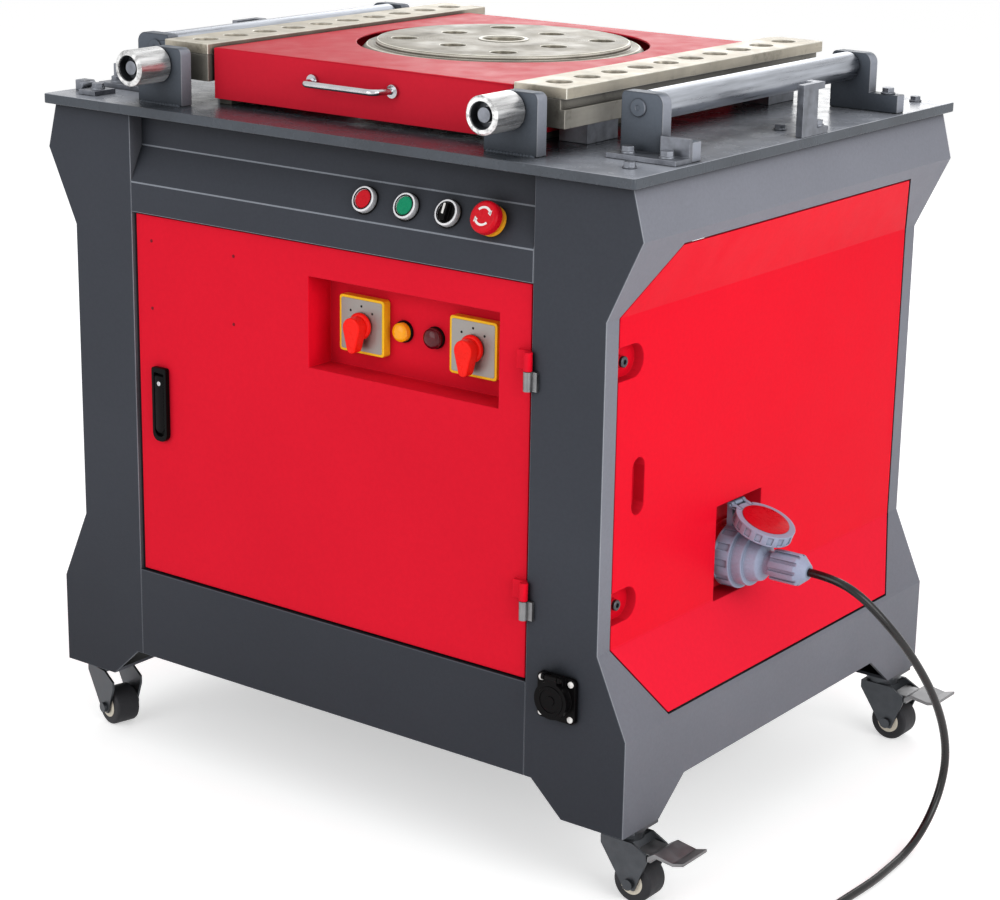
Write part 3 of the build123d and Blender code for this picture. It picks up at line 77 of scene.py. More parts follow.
# Materials. Every pattern is in object coordinates, which are metres in the object's own frame.
def srgb(*rgb):
    return tuple((c / 255 / 12.92) if c <= 10 else ((c / 255 + 0.055) / 1.055) ** 2.4 for c in rgb) + (1.0,)


class Shader:
    """A principled material and short ways to add nodes to it."""

    def __init__(self, name, colour, rough=0.5, metal=0.0, specular=0.5):
        self.mat = bpy.data.materials.new(name)
        self.mat.use_nodes = True
        self.tree = self.mat.node_tree
        self.bsdf = self.tree.nodes["Principled BSDF"]
        self.bsdf.inputs["Base Color"].default_value = colour
        self.bsdf.inputs["Roughness"].default_value = rough
        self.bsdf.inputs["Metallic"].default_value = metal
        self.bsdf.inputs["Specular IOR Level"].default_value = specular
        self.coord = self.add("ShaderNodeTexCoord")

    def add(self, kind, **props):
        node = self.tree.nodes.new(kind)
        for key, value in props.items():
            setattr(node, key, value)
        return node

    def link(self, source, target):
        self.tree.links.new(source, target)

    def split(self, output):
        """The X, Y and Z of a coordinate output."""
        node = self.add("ShaderNodeSeparateXYZ")
        self.link(self.coord.outputs[output], node.inputs[0])
        return node.outputs

    def scaled(self, scale):
        mapping = self.add("ShaderNodeMapping")
        mapping.inputs["Scale"].default_value = scale
        self.link(self.coord.outputs["Object"], mapping.inputs["Vector"])
        return mapping.outputs["Vector"]

    def noise(self, scale, detail=3.0, rough=0.55, stretch=None):
        node = self.add("ShaderNodeTexNoise")
        node.inputs["Scale"].default_value = scale
        node.inputs["Detail"].default_value = detail
        node.inputs["Roughness"].default_value = rough
        vector = self.scaled(stretch) if stretch else self.coord.outputs["Object"]
        self.link(vector, node.inputs["Vector"])
        return node.outputs["Fac"]

    def ramp(self, value, low, high, start=0.0, end=1.0):
        node = self.add("ShaderNodeMapRange")
        node.inputs["From Min"].default_value = low
        node.inputs["From Max"].default_value = high
        node.inputs["To Min"].default_value = start
        node.inputs["To Max"].default_value = end
        self.link(value, node.inputs["Value"])
        return node.outputs["Result"]

    def math(self, kind, a, b=0.0):
        node = self.add("ShaderNodeMath", operation=kind)
        for socket, value in zip(node.inputs, (a, b)):
            if isinstance(value, (int, float)):
                socket.default_value = value
            else:
                self.link(value, socket)
        return node.outputs[0]

    def mix(self, factor, a, b, blend="MIX"):
        node = self.add("ShaderNodeMix", data_type="RGBA", blend_type=blend)
        for socket, value in ((node.inputs["Factor"], factor), (node.inputs["A"], a), (node.inputs["B"], b)):
            if isinstance(value, (tuple, int, float)):
                socket.default_value = value
            else:
                self.link(value, socket)
        return node.outputs["Result"]

    def shade(self, base, value):
        """base, multiplied by a value."""
        grey = self.add("ShaderNodeCombineColor")
        for socket in grey.inputs[:3]:
            self.link(value, socket)
        return self.mix(1.0, base, grey.outputs["Color"], "MULTIPLY")

    def mottle(self, base, scale, amount, detail=4.0, stretch=None):
        """base, lighter and darker by amount with a noise."""
        noise = self.noise(scale, detail, stretch=stretch)
        return self.shade(base, self.ramp(noise, 0.3, 0.7, 1 - amount, 1 + amount))

    def painted_crevice_shade(self, base, reach, dark):
        """Painted shade: base, darker where other surfaces stand close by."""
        node = self.add("ShaderNodeAmbientOcclusion", samples=8)
        node.inputs["Distance"].default_value = reach
        return self.shade(base, self.ramp(node.outputs["AO"], 0.4, 0.95, dark, 1.0))

    def darken_low(self, base, low, high, dark):
        """base, darker towards the floor."""
        return self.shade(base, self.ramp(self.split("Object")["Z"], low, high, dark, 1.0))

    def paint(self, colour):
        self.link(colour, self.bsdf.inputs["Base Color"])
        return self

    def rough(self, low, high, scale, detail=4.0, stretch=None):
        value = self.ramp(self.noise(scale, detail, stretch=stretch), 0.3, 0.7, low, high)
        self.link(value, self.bsdf.inputs["Roughness"])
        return self

    def bump(self, height, distance, strength=1.0):
        node = self.add("ShaderNodeBump")
        node.inputs["Strength"].default_value = strength
        node.inputs["Distance"].default_value = distance
        self.link(height, node.inputs["Height"])
        self.link(node.outputs["Normal"], self.bsdf.inputs["Normal"])
        return self


def painted_side_light(shader, front, side):
    """Painted light: the lit copy of the paint, side, on the faces that look sideways, and the shaded copy,
    front, on the others.
    """
    across = shader.math("ABSOLUTE", shader.split("Normal")["X"])
    return shader.mix(shader.ramp(across, 0.45, 0.75), front, side)


def powder_coat(name, front, side):
    s = Shader(name, front, 0.42, specular=0.08)
    base = s.painted_crevice_shade(painted_side_light(s, front, side), 0.07, 0.25)
    base = s.darken_low(base, 0.08, 0.42, 0.68)
    s.paint(s.mottle(s.mottle(base, 5.0, 0.05), 260.0, 0.035, 2.0))
    s.rough(0.36, 0.48, 40.0)
    s.bump(s.noise(750.0, 2.0), 0.00025, 0.35)
    return s.mat


def table_coat(name, paint, painted_sheen):
    """The lighter colour given last is a painted reflection on the upward faces towards the table's ends."""
    s = Shader(name, paint, 0.3, specular=0.25)
    across = s.ramp(s.math("ABSOLUTE", s.split("Object")["X"]), 0.27, 0.34)
    sheen_mask = s.math("MULTIPLY", across, s.ramp(s.split("Normal")["Z"], 0.5, 0.8))
    base = s.painted_crevice_shade(s.mix(sheen_mask, paint, painted_sheen), 0.05, 0.3)
    s.paint(s.mottle(s.mottle(base, 14.0, 0.16, 5.0), 260.0, 0.05, 2.0))
    s.rough(0.16, 0.34, 30.0)
    s.bump(s.noise(600.0, 2.0), 0.0002, 0.25)
    return s.mat


def gloss_paint(name, front, side, low):
    """low is painted light: a lighter copy of the right side's paint below the fold near the floor, against
    the shade on the lower slope.
    """
    s = Shader(name, front, 0.34, specular=0.02)
    at = s.split("Object")
    below = s.ramp(at["Z"], 0.302, 0.298)
    right = s.ramp(at["X"], 0.3, 0.31)
    side = s.mix(s.math("MULTIPLY", below, right), side, low)
    base = s.painted_crevice_shade(painted_side_light(s, front, side), 0.03, 0.72)
    s.paint(s.mottle(s.mottle(base, 3.5, 0.035), 180.0, 0.02, 2.0))
    s.rough(0.28, 0.4, 30.0)
    s.bump(s.noise(520.0, 2.0), 0.0002, 0.3)
    return s.mat


def worn_steel(name, colour, stain, rings=False):
    s = Shader(name, colour, 0.42, 0.55)
    base = s.mottle(colour, 22.0, 0.16, 6.0)
    spots = s.ramp(s.noise(38.0, 7.0, 0.7), 0.55, 0.72)
    base = s.mix(s.math("MULTIPLY", spots, 0.65), base, stain)
    base = s.painted_crevice_shade(base, 0.03, 0.2)
    if rings:
        wave = s.add("ShaderNodeTexWave", wave_type="RINGS", rings_direction="Z")
        wave.inputs["Scale"].default_value = 90.0
        wave.inputs["Distortion"].default_value = 0.6
        s.link(s.coord.outputs["Object"], wave.inputs["Vector"])
        lines = wave.outputs["Fac"]
    else:
        lines = s.noise(6.0, 4.0, stretch=(60, 4, 60))
    s.paint(s.shade(base, s.ramp(lines, 0.2, 0.8, 0.94, 1.05)))
    s.rough(0.34, 0.58, 26.0, 6.0)
    s.bump(lines, 0.0002, 0.25)
    return s.mat


def metal(name, colour, low, high, scale=60.0, stretch=None, streak=0.06, share=1.0):
    s = Shader(name, colour, (low + high) / 2, share)
    s.paint(s.mottle(colour, scale, streak, 4.0, stretch))
    s.rough(low, high, scale, 4.0, stretch)
    s.bump(s.noise(scale * 6, 2.0, stretch=stretch), 0.0001, 0.3)
    return s.mat


def plastic(name, colour, rough=0.4, grain=900.0, depth=0.00012, specular=0.2, shadow=1.0):
    s = Shader(name, colour, rough, specular=specular)
    base = s.mottle(s.mottle(colour, 30.0, 0.05), 400.0, 0.04, 2.0)
    s.paint(s.painted_crevice_shade(base, 0.01, shadow) if shadow < 1 else base)
    s.rough(max(rough - 0.07, 0.03), rough + 0.08, 120.0)
    s.bump(s.noise(grain, 2.0), depth, 0.35)
    return s.mat


# In powder_coat and gloss_paint the side colour is a lit copy of the front colour: painted light on the
# faces that look sideways.
M = {
    "grey": powder_coat("cabinet_paint", srgb(58, 61, 68), srgb(123, 125, 134)),
    # A lighter copy of the cabinet paint for the bevels: painted highlight on the edges and bends.
    "grey_edge_highlight": powder_coat("cabinet_edge_highlight", srgb(84, 89, 97), srgb(150, 153, 160)),
    "bend_highlight": powder_coat("bend_painted_highlight", srgb(128, 133, 141), srgb(150, 153, 160)),
    "table": table_coat("table_paint", srgb(68, 73, 80), srgb(158, 162, 171)),
    "bracket": powder_coat("bracket_paint", srgb(98, 105, 115), srgb(142, 146, 156)),
    "red": gloss_paint("panel_paint", srgb(216, 26, 46), srgb(232, 17, 41), srgb(233, 31, 54)),
    "lid": gloss_paint("cover_paint", srgb(206, 36, 54), srgb(214, 30, 48), srgb(214, 30, 48)),
    "bars": worn_steel("milled_bar", srgb(188, 180, 164), srgb(110, 103, 87)),
    "rim": worn_steel("rim_steel_and_edge_highlight", srgb(214, 210, 198), srgb(150, 144, 128)),
    "rail": worn_steel("rail_steel", srgb(160, 156, 147), srgb(96, 91, 80)),
    "disc": worn_steel("turned_disc", srgb(128, 122, 108), srgb(64, 58, 47), rings=True),
    # The chrome's strong light and dark streaks along the rollers are painted reflection.
    "chrome": metal("hard_chrome", (0.62, 0.62, 0.62, 1), 0.2, 0.4, 5.0, (34, 2, 34), 0.5, share=0.8),
    "bright": metal("polished_chrome", (0.5, 0.5, 0.52, 1), 0.12, 0.24),
    "bezel": metal("satin_bezel", (0.62, 0.62, 0.64, 1), 0.28, 0.4, share=0.45),
    "ground": metal("ground_steel", (0.38, 0.4, 0.44, 1), 0.24, 0.4, 6.0, (30, 2, 30), 0.25),
    "zinc": metal("zinc_plate", (0.19, 0.2, 0.225, 1), 0.34, 0.54, 90.0, None, 0.25),
    "caster": metal("caster_steel", (0.075, 0.08, 0.088, 1), 0.34, 0.5, 70.0, None, 0.15),
    "pedal": metal("pedal_steel", (0.22, 0.22, 0.225, 1), 0.38, 0.55, 70.0, None, 0.15),
    "cast": plastic("cast_paint", srgb(96, 100, 106), 0.55, 300.0, 0.0005),
    "black": plastic("black_plastic", srgb(9, 8, 9), 0.36, specular=0.06),
    "lilac": plastic("grey_plastic", srgb(150, 160, 184), 0.38, shadow=0.3),
    "red_plastic": plastic("red_plastic", srgb(198, 12, 30), 0.28, specular=0.12),
    "knob_red": plastic("knob_red", srgb(245, 30, 22), 0.3, specular=0.12),
    "green": plastic("green_plastic", srgb(6, 136, 96), 0.28, specular=0.12),
    "yellow": plastic("yellow_plastic", srgb(240, 190, 34), 0.34, specular=0.12),
    "orange": plastic("collar_plastic", srgb(246, 168, 40), 0.34, specular=0.12),
    "rivet": plastic("painted_rivet", srgb(118, 16, 30), 0.4, specular=0.1),
    "white": plastic("white_plastic", srgb(226, 224, 222), 0.4),
    "cream": plastic("cream_plastic", srgb(214, 206, 190), 0.4),
    "silver": metal("satin_plate", (0.27, 0.255, 0.24, 1), 0.4, 0.55, 300.0),
    "amber": plastic("amber_lens", srgb(250, 166, 6), 0.16, specular=0.3),
    "dark_lens": plastic("dark_red_lens", srgb(84, 4, 18), 0.12, specular=0.3),
    "rubber": plastic("cable_rubber", srgb(13, 13, 14), 0.24, 600.0, 0.00005, 0.4),
    "tyre": plastic("tyre_rubber", srgb(48, 48, 51), 0.6, 500.0, 0.0003),
}
CORNERS = ("front_left", "front_right", "rear_left", "rear_right")
LOOK = {
    "grey": "front_posts rear_posts upper_side_bands lower_side_sills aprons console_panel floor_pan",
    "table": "table_plate",
    "bracket": "roller_brackets",
    "red": "side_cover_right side_cover_left rear_cover door",
    "lid": "top_cover",
    "bars": "perforated_bars main_shaft worm_shaft motor_pulley",
    "rail": "table_rails",
    "disc": "work_disc",
    "chrome": "short_roller_left short_roller_right",
    "bright": "top_cover_handle",
    "bezel": "control_bezels",
    "ground": "long_roller_left long_roller_right",
    "zinc": "table_hardware",
    "caster": "caster_plates " + " ".join(f"caster_fork_{corner}" for corner in CORNERS),
    "pedal": "brake_pedal_front_right brake_pedal_rear_right hinge_leaves",
    "cast": "gearbox_housing motor_body control_gear",
    "black": "service_outlet outlet_lid lock_handle selector_knob door_controls",
    "lilac": "power_connector connector_lid cable_end_plug",
    "red_plastic": "stop_button emergency_button power_inlet",
    "knob_red": "switch_knob_left switch_knob_right",
    "green": "start_button",
    "orange": "emergency_collar",
    "rubber": "drive_belt power_cable cable_coil",
    "tyre": " ".join(f"caster_wheel_{corner}" for corner in CORNERS),
}
for key, names in LOOK.items():
    for name in names.split():
        nodes[name].data.materials.clear()
        nodes[name].data.materials.append(M[key])


# Rounded edges of the sheet metal and the small parts: width in metres, and for some a lighter paint on the
# bevel, which is a painted highlight.
def round_edges(obj, width, angle):
    bevel = obj.modifiers.new("bevel", "BEVEL")
    bevel.width = width
    bevel.segments = 2
    bevel.limit_method = "ANGLE"
    bevel.angle_limit = math.radians(angle)
    bevel.harden_normals = True
    return bevel


def soften(names, width, highlight_paint=None, angle=25, keep=None):
    for name in names.split():
        node = nodes[name]
        weld = node.modifiers.new("weld", "WELD")
        weld.merge_threshold = 0.00001
        flat = node.modifiers.new("flat", "DECIMATE")
        flat.decimate_type = "DISSOLVE"
        flat.angle_limit = math.radians(0.5)
        bevel = round_edges(node, width, angle)
        bevel.use_clamp_overlap = False
        if keep:
            group = node.vertex_groups.new(name="rounded")
            group.add([v.index for v in node.data.vertices if keep(v.co)], 1.0, "ADD")
            bevel.limit_method = "VGROUP"
            bevel.vertex_group = "rounded"
        if highlight_paint:
            node.data.materials.append(M[highlight_paint])
            bevel.material = 1


soften("front_posts", 0.0011, "grey_edge_highlight", keep=lambda co: co.y < -0.34)
soften("rear_posts", 0.0011, "grey_edge_highlight", keep=lambda co: co.y > 0.34)
soften("aprons", 0.0011, "grey_edge_highlight")
soften("console_panel", 0.001, "bend_highlight", 15)
soften("table_plate", 0.0013)
soften("roller_brackets", 0.0013, "grey_edge_highlight")
soften("top_cover", 0.0018, keep=lambda co: co.z > 0.89)
soften("door side_cover_right side_cover_left", 0.001)
# Lighter steel on the chamfers of the bars and disc is a painted highlight; the bore bush wears the same
# steel as its own colour.
soften("perforated_bars work_disc", 0.001, "rim")
soften("table_rails table_hardware service_outlet power_connector connector_lid control_bezels", 0.0007)
soften("selector_knob lock_handle brake_pedal_front_right brake_pedal_rear_right", 0.0007)


# Modelling helpers. A place is a matrix that takes local millimetres to metres, with w outwards.
SHARP_ANGLE = 35


def place(origin, u, w):
    u, w = Vector(u).normalized(), Vector(w).normalized()
    matrix = Matrix((u, w.cross(u), w)).transposed().to_4x4() @ Matrix.Scale(0.001, 4)
    matrix.translation = Vector(origin) / 1000
    return matrix


def front_at(x, y, z):
    """A place on a face that looks to the front, with u to the right and v up."""
    return place((x, y, z), (1, 0, 0), (0, -1, 0))


def circle(radius, count=40, centre=(0, 0)):
    turns = [2 * math.pi * k / count for k in range(count)]
    return [(centre[0] + radius * math.cos(a), centre[1] + radius * math.sin(a)) for a in turns]


def rounded_box(width, height, top, low=None, steps=5):
    """A box with round corners, whose two low corners may have a radius of their own."""
    points = []
    for corner, (sx, sy) in enumerate(((1, 1), (-1, 1), (-1, -1), (1, -1))):
        radius = low if low and sy < 0 else top
        for k in range(steps + 1):
            a = math.pi / 2 * (corner + k / steps)
            points.append((sx * (width / 2 - radius) + radius * math.cos(a),
                           sy * (height / 2 - radius) + radius * math.sin(a)))
    return points


def sector(inner, outer, start, end, steps=16):
    """A piece of a flat ring between two angles in degrees."""
    turns = [math.radians(start + (end - start) * k / steps) for k in range(steps + 1)]
    outside = [(outer * math.cos(a), outer * math.sin(a)) for a in turns]
    inside = [(inner * math.cos(a), inner * math.sin(a)) for a in reversed(turns)]
    return outside + inside


def prism(bm, at, outline, low, high):
    """A flat outline, drawn out between two heights."""
    bottom = [bm.verts.new(at @ Vector((u, v, low))) for u, v in outline]
    top = [bm.verts.new(at @ Vector((u, v, high))) for u, v in outline]
    bm.faces.new(list(reversed(bottom)))
    bm.faces.new(top)
    for k in range(len(outline)):
        n = (k + 1) % len(outline)
        bm.faces.new((bottom[k], bottom[n], top[n], top[k]))


def frame_prism(bm, at, outer, inner, low, high):
    """A frame between two outlines that have as many points."""
    rings = [[bm.verts.new(at @ Vector((u, v, w))) for u, v in outline]
             for outline, w in ((outer, low), (outer, high), (inner, high), (inner, low))]
    for a, b in zip(rings, rings[1:] + rings[:1]):
        for k in range(len(a)):
            n = (k + 1) % len(a)
            bm.faces.new((a[k], a[n], b[n], b[k]))


def lathe(bm, at, profile, closed=False, steps=48):
    """A profile of (radius, height) turned round w. A closed profile makes a ring."""
    turns = [2 * math.pi * k / steps for k in range(steps)]
    rings = []
    for radius, w in profile:
        if radius == 0:
            rings.append([bm.verts.new(at @ Vector((0, 0, w)))] * steps)
        else:
            rings.append([bm.verts.new(at @ Vector((radius * math.cos(a), radius * math.sin(a), w)))
                          for a in turns])
    pairs = list(zip(rings, rings[1:]))
    if closed:
        pairs.append((rings[-1], rings[0]))
    for a, b in pairs:
        for k in range(steps):
            n = (k + 1) % steps
            corners = []
            for vert in (a[k], a[n], b[n], b[k]):
                if vert not in corners:
                    corners.append(vert)
            bm.faces.new(corners)


def piece(name, body, material, build, bevel=0.0):
    """A finished piece on a body, made by a function that fills a mesh."""
    bm = bmesh.new()
    build(bm)
    bmesh.ops.recalc_face_normals(bm, faces=bm.faces)
    mesh = bpy.data.meshes.new(name)
    bm.to_mesh(mesh)
    bm.free()
    mesh.polygons.foreach_set("use_smooth", [True] * len(mesh.polygons))
    mesh.set_sharp_from_angle(angle=math.radians(SHARP_ANGLE))
    mesh.materials.append(M[material])
    obj = bpy.data.objects.new(name, mesh)
    scene.collection.objects.link(obj)
    if bevel:
        round_edges(obj, bevel, SHARP_ANGLE)
    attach(obj, body)
    return obj


# Door: switch plates with their faces and marks, knobs, lamps, lock case and rivets.
RECESS_Y = -301
DOOR_Y = -341
SWITCHES = {"left": 35, "right": 198}
SWITCH_Z = 611
SWITCH_W = 67
PLATE_T = 12
AMBER_X, DARK_X = 90, 136
LOCK_X, LOCK_Z, LOCK_W, LOCK_H, LOCK_T = -261, 470, 24, 94, 7
RIVETS = ((-274, 673), (-139, 673), (-275, 589), (-140, 590))


def lamp_profile(radius):
    """A ribbed lens with a domed end."""
    rib = radius - 0.6
    return [(0, 2), (radius, 2), (radius, 6.2), (rib, 6.6), (radius, 7), (radius, 8.6), (rib, 9),
            (radius - 0.2, 9.4), (radius * 0.87, 11), (radius * 0.6, 12.4), (radius * 0.27, 12.9), (0, 13)]


def knob_outline(top=12.5, low=6.5, drop=23.5, steps=14):
    """A round head that tapers to a narrower round tip below it."""
    lean = math.asin((top - low) / drop)
    points = []
    for k in range(steps + 1):
        a = -lean + (math.pi + 2 * lean) * k / steps
        points.append((top * math.cos(a), top * math.sin(a)))
    for k in range(steps + 1):
        a = math.pi + lean + (math.pi - 2 * lean) * k / steps
        points.append((low * math.cos(a), -drop + low * math.sin(a)))
    return points


def make_door_controls():
    plates = [front_at(x, RECESS_Y, SWITCH_Z) for x in SWITCHES.values()]

    def yellow(bm):
        for at in plates:
            prism(bm, at, rounded_box(SWITCH_W, SWITCH_W, 4), 0, PLATE_T - 0.4)

    def faces(bm):
        for at in plates:
            prism(bm, at, rounded_box(SWITCH_W - 6, SWITCH_W - 6, 2.5), PLATE_T - 0.8, PLATE_T)

    def marks(bm):
        for at in plates:
            for angle in (45, 90, 135):
                a = math.radians(angle)
                dot = circle(1.5, 16, (23 * math.cos(a), 23 * math.sin(a)))
                prism(bm, at, dot, PLATE_T - 0.2, PLATE_T + 0.15)

    def bodies(bm):
        for at in plates:
            prism(bm, at, rounded_box(50, 50, 3), -48, -3)
            prism(bm, at, rounded_box(58, 30, 3), -38, -12)

    def bezels(bm):
        for x in (AMBER_X, DARK_X):
            lathe(bm, front_at(x, RECESS_Y, SWITCH_Z),
                  [(10.5, 0), (13, 0), (13, 2.2), (12.2, 3), (11.2, 3), (10.5, 2.4)], True)

    def amber(bm):
        lathe(bm, front_at(AMBER_X, RECESS_Y, SWITCH_Z), lamp_profile(11))

    def dark(bm):
        lathe(bm, front_at(DARK_X, RECESS_Y, SWITCH_Z), lamp_profile(11.8))

    def lock(bm):
        at = front_at(LOCK_X, DOOR_Y, LOCK_Z)
        pocket = rounded_box(LOCK_W - 8, LOCK_H - 13, 1.5, 7.2)
        frame_prism(bm, at, rounded_box(LOCK_W, LOCK_H, 3, 10), pocket, 0, LOCK_T)
        prism(bm, at, pocket, 0, 2)

    def rivets(bm):
        for x, z in RIVETS:
            lathe(bm, front_at(x, DOOR_Y, z), [(2, 0), (1.8, 0.5), (1, 0.8), (0, 0.9)], steps=20)

    def key(bm):
        at = front_at(LOCK_X, DOOR_Y, LOCK_Z + LOCK_H / 2 - 20)
        lathe(bm, at, [(2.8, 6.2), (2.8, 6.8), (2.2, 7), (0.8, 7), (0.8, 6.6), (0, 6.6)], steps=24)

    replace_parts(piece("switch_plates", "door", "yellow", yellow, 0.0008), "door_controls")
    piece("switch_faces", "door", "silver", faces, 0.0003)
    piece("switch_marks", "door", "black", marks)
    piece("switch_bodies", "door", "black", bodies, 0.001)
    piece("lamp_bezels", "door", "black", bezels)
    piece("lamp_amber", "door", "amber", amber)
    piece("lamp_red", "door", "dark_lens", dark)
    piece("lock_case", "door", "black", lock, 0.0008)
    piece("door_rivets", "door", "rivet", rivets)
    piece("lock_key", "lock", "bright", key)


make_door_controls()


def make_knob(side, x):
    at = front_at(x, RECESS_Y, SWITCH_Z)

    def build(bm):
        low = PLATE_T + 0.3
        lathe(bm, at, [(0, low), (16, low), (16, low + 3.2), (14.6, low + 5.7), (0, low + 5.7)])
        prism(bm, at, knob_outline(), low + 5.2, PLATE_T + 20)
        lathe(bm, at, [(0, 0.3), (5, 0.3), (5, low + 1), (0, low + 1)])

    knob = piece(f"knob_{side}", f"knob_{side}", "knob_red", build, 0.002)
    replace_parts(knob, f"switch_knob_{side}")


for side, x in SWITCHES.items():
    make_knob(side, x)


# Console: black rings round the bezels' feet and between caps and bezels, which are painted shadow, the
# selector's pointer and the arrows on the emergency button.
PANEL_NORMAL = Vector((0, -43, 20)).normalized()
PANEL_Y, PANEL_Z = -335, 764.5
BEZELS = (61, 121, 180)
SELECTOR_X, EMERGENCY_X = BEZELS[2], 240
SELECTOR_TOP, MUSHROOM_TOP = 13.5, 20.4


def panel_at(x):
    return place((x, PANEL_Y, PANEL_Z), (1, 0, 0), PANEL_NORMAL)


def make_console_marks():
    def shadow_rings(bm):
        for x in BEZELS:
            lathe(bm, panel_at(x), [(15.1, 0), (16.6, 0), (16.6, 0.7), (15.1, 0.9)], True)
            lathe(bm, panel_at(x), [(11.2, 7), (12.7, 7), (12.7, 8.15), (11.2, 8.15)], True)

    def pointer(bm):
        outline = [(-1.3, -3), (1.3, -3), (1.3, 9), (-1.3, 9)]
        prism(bm, panel_at(SELECTOR_X), outline, SELECTOR_TOP - 0.3, SELECTOR_TOP + 0.35)

    def arrows(bm):
        at = panel_at(EMERGENCY_X)
        for start in (20, 200):
            prism(bm, at, sector(8.6, 11.2, start, start + 118), MUSHROOM_TOP - 0.2, MUSHROOM_TOP + 0.25)
            tip = math.radians(start - 6)
            reach = math.radians(start + 16)
            head = [(9.9 * math.cos(tip - 0.12), 9.9 * math.sin(tip - 0.12)),
                    (12.9 * math.cos(reach), 12.9 * math.sin(reach)),
                    (6.9 * math.cos(reach), 6.9 * math.sin(reach))]
            prism(bm, at, head, MUSHROOM_TOP - 0.2, MUSHROOM_TOP + 0.25)

    piece("bezel_shadow_rings", "cabinet", "black", shadow_rings)
    piece("selector_pointer", "selector", "white", pointer)
    piece("emergency_arrows", "emergency", "white", arrows)


make_console_marks()


# Side covers: the screws in their dishes. Service outlet: its fixing screws and its lid's ring.
DISH_BOSS_X = 392
DISHES = ((-302, 347), (-302, 626))
OUTLET_X, OUTLET_Z = 350, 240
OUTLET_FACE_Y, OUTLET_LID_Y = -351, -362.3


def make_small_fasteners():
    socket_head = [(0, 1.4), (2.9, 1.4), (2.9, 4.2), (5.6, 4.2), (6.4, 3.4), (6.4, 0), (0, 0)]
    dome = [(3.8, 0), (3.6, 1.1), (2.4, 1.9), (0.9, 2.1), (0.9, 1.3), (0, 1.3)]

    def dish_screws(bm):
        for hand in (-1, 1):
            for y, z in DISHES:
                at = place((hand * DISH_BOSS_X, y, z), (0, hand, 0), (hand, 0, 0))
                lathe(bm, at, socket_head, steps=24)

    def outlet_screws(bm):
        for dx in (-20, 20):
            for dz in (-21, 21):
                lathe(bm, front_at(OUTLET_X + dx, OUTLET_FACE_Y, OUTLET_Z + dz), dome, steps=24)

    def lid_ring(bm):
        at = front_at(OUTLET_X, OUTLET_LID_Y, OUTLET_Z)
        lathe(bm, at, [(13.5, -0.4), (17.5, -0.4), (17, 0.9), (14, 0.9)], True)
        lathe(bm, at, [(6, -0.4), (5.6, 0.9), (0, 0.9)])

    piece("dish_screws", "cabinet", "caster", dish_screws)
    piece("outlet_screws", "cabinet", "white", outlet_screws)
    piece("outlet_lid_ring", "outlet_flap", "black", lid_ring)


make_small_fasteners()


# Table: caps over the long rollers' axles, the turntable's bush, weld beads and the short rollers' dishes.
TABLE_Z = 838
DISC_TOP_Z = 910
AXLE_X, AXLE_FRONT_Y, AXLE_Z = 361, -238, 890
BRACKET_FRONT_Y, BRACKET_T, BRACKET_HALF_W = -324, 18, 36
SHORT_ROLLERS = {"left": -271, "right": 253}
ROLLER_FRONT_Y, ROLLER_Z, ROLLER_DISH = -376.5, 886, 14


def bead(bm, start, end, radius, pitch=4.2):
    """A rippled weld bead between two points."""
    start, end = Vector(start), Vector(end)
    length = (end - start).length
    count = max(int(length / pitch) * 4, 8)
    profile = [(0, 0)]
    for k in range(count + 1):
        ripple = 1 + 0.16 * math.cos(math.pi / 2 * k)
        taper = min(1.0, 0.35 + 0.3 * min(k, count - k))
        profile.append((radius * ripple * taper, length * k / count))
    profile.append((0, length))
    lathe(bm, place(start, (0, 0, 1), end - start), profile, steps=12)


def make_table_details():
    def caps(bm):
        for x in (-AXLE_X, AXLE_X):
            cap = [(9.6, 0), (9.6, 1.6), (8.8, 2.4), (3.4, 2.4), (3, 1.8), (0, 1.8)]
            lathe(bm, front_at(x, AXLE_FRONT_Y, AXLE_Z), cap)

    def bush(bm):
        at = place((0, 0, DISC_TOP_Z), (1, 0, 0), (0, 0, 1))
        lathe(bm, at, [(26.3, -3), (26.3, 0.6), (26.8, 1.1), (30.6, 1.1), (31.2, 0.5), (31.2, -3)], True, 64)

    def welds(bm):
        for x in SHORT_ROLLERS.values():
            for y in (BRACKET_FRONT_Y, BRACKET_FRONT_Y + BRACKET_T):
                bead(bm, (x - BRACKET_HALF_W + 3, y, TABLE_Z), (x + BRACKET_HALF_W - 3, y, TABLE_Z), 2.6)

    piece("axle_caps", "cabinet", "bracket", caps)
    piece("bore_bush", "turntable", "rim", bush)
    piece("weld_beads", "cabinet", "bracket", welds)
    for side, x in SHORT_ROLLERS.items():
        def dish(bm):
            at = front_at(x, ROLLER_FRONT_Y + ROLLER_DISH, ROLLER_Z)
            lathe(bm, at, [(9, 0.2), (15.4, 0.2), (15.4, 12), (15, 12), (14.6, 0.8), (9, 0.8)], True)
        piece(f"roller_dish_{side}", f"front_roller_{side}", "caster", dish)


make_table_details()


# Casters: a pale hub ring on each side of every wheel, as radius and height over the tyre's side.
HALF_TYRE = 17
HUB_RING = ((7.5, -2), (15, -2), (14.6, 0.5), (13, 1), (9.5, 0.4), (8, 1), (7.5, 0.6))


def make_hub_rings():
    joints = {joint["name"]: joint for joint in frame["record"]["behaviour"]["joints"]}
    for corner in CORNERS:
        spin = joints[f"wheel_{corner}_spin"]
        hub = [1000 * c for c in spin["pos_m"]]
        axis = Vector(spin["axis"])

        def build(bm):
            for hand in (-1, 1):
                at = place(hub, (0, 0, 1), hand * axis)
                lathe(bm, at, [(radius, HALF_TYRE + proud) for radius, proud in HUB_RING], True)

        piece(f"hub_{corner}", f"wheel_{corner}", "cream", build)


make_hub_rings()


# Connector: the red disc on its lid.
LID_TILT = math.radians(21)
LID_HINGE = Vector((396, -56, 407))
LID_CENTRE = 43


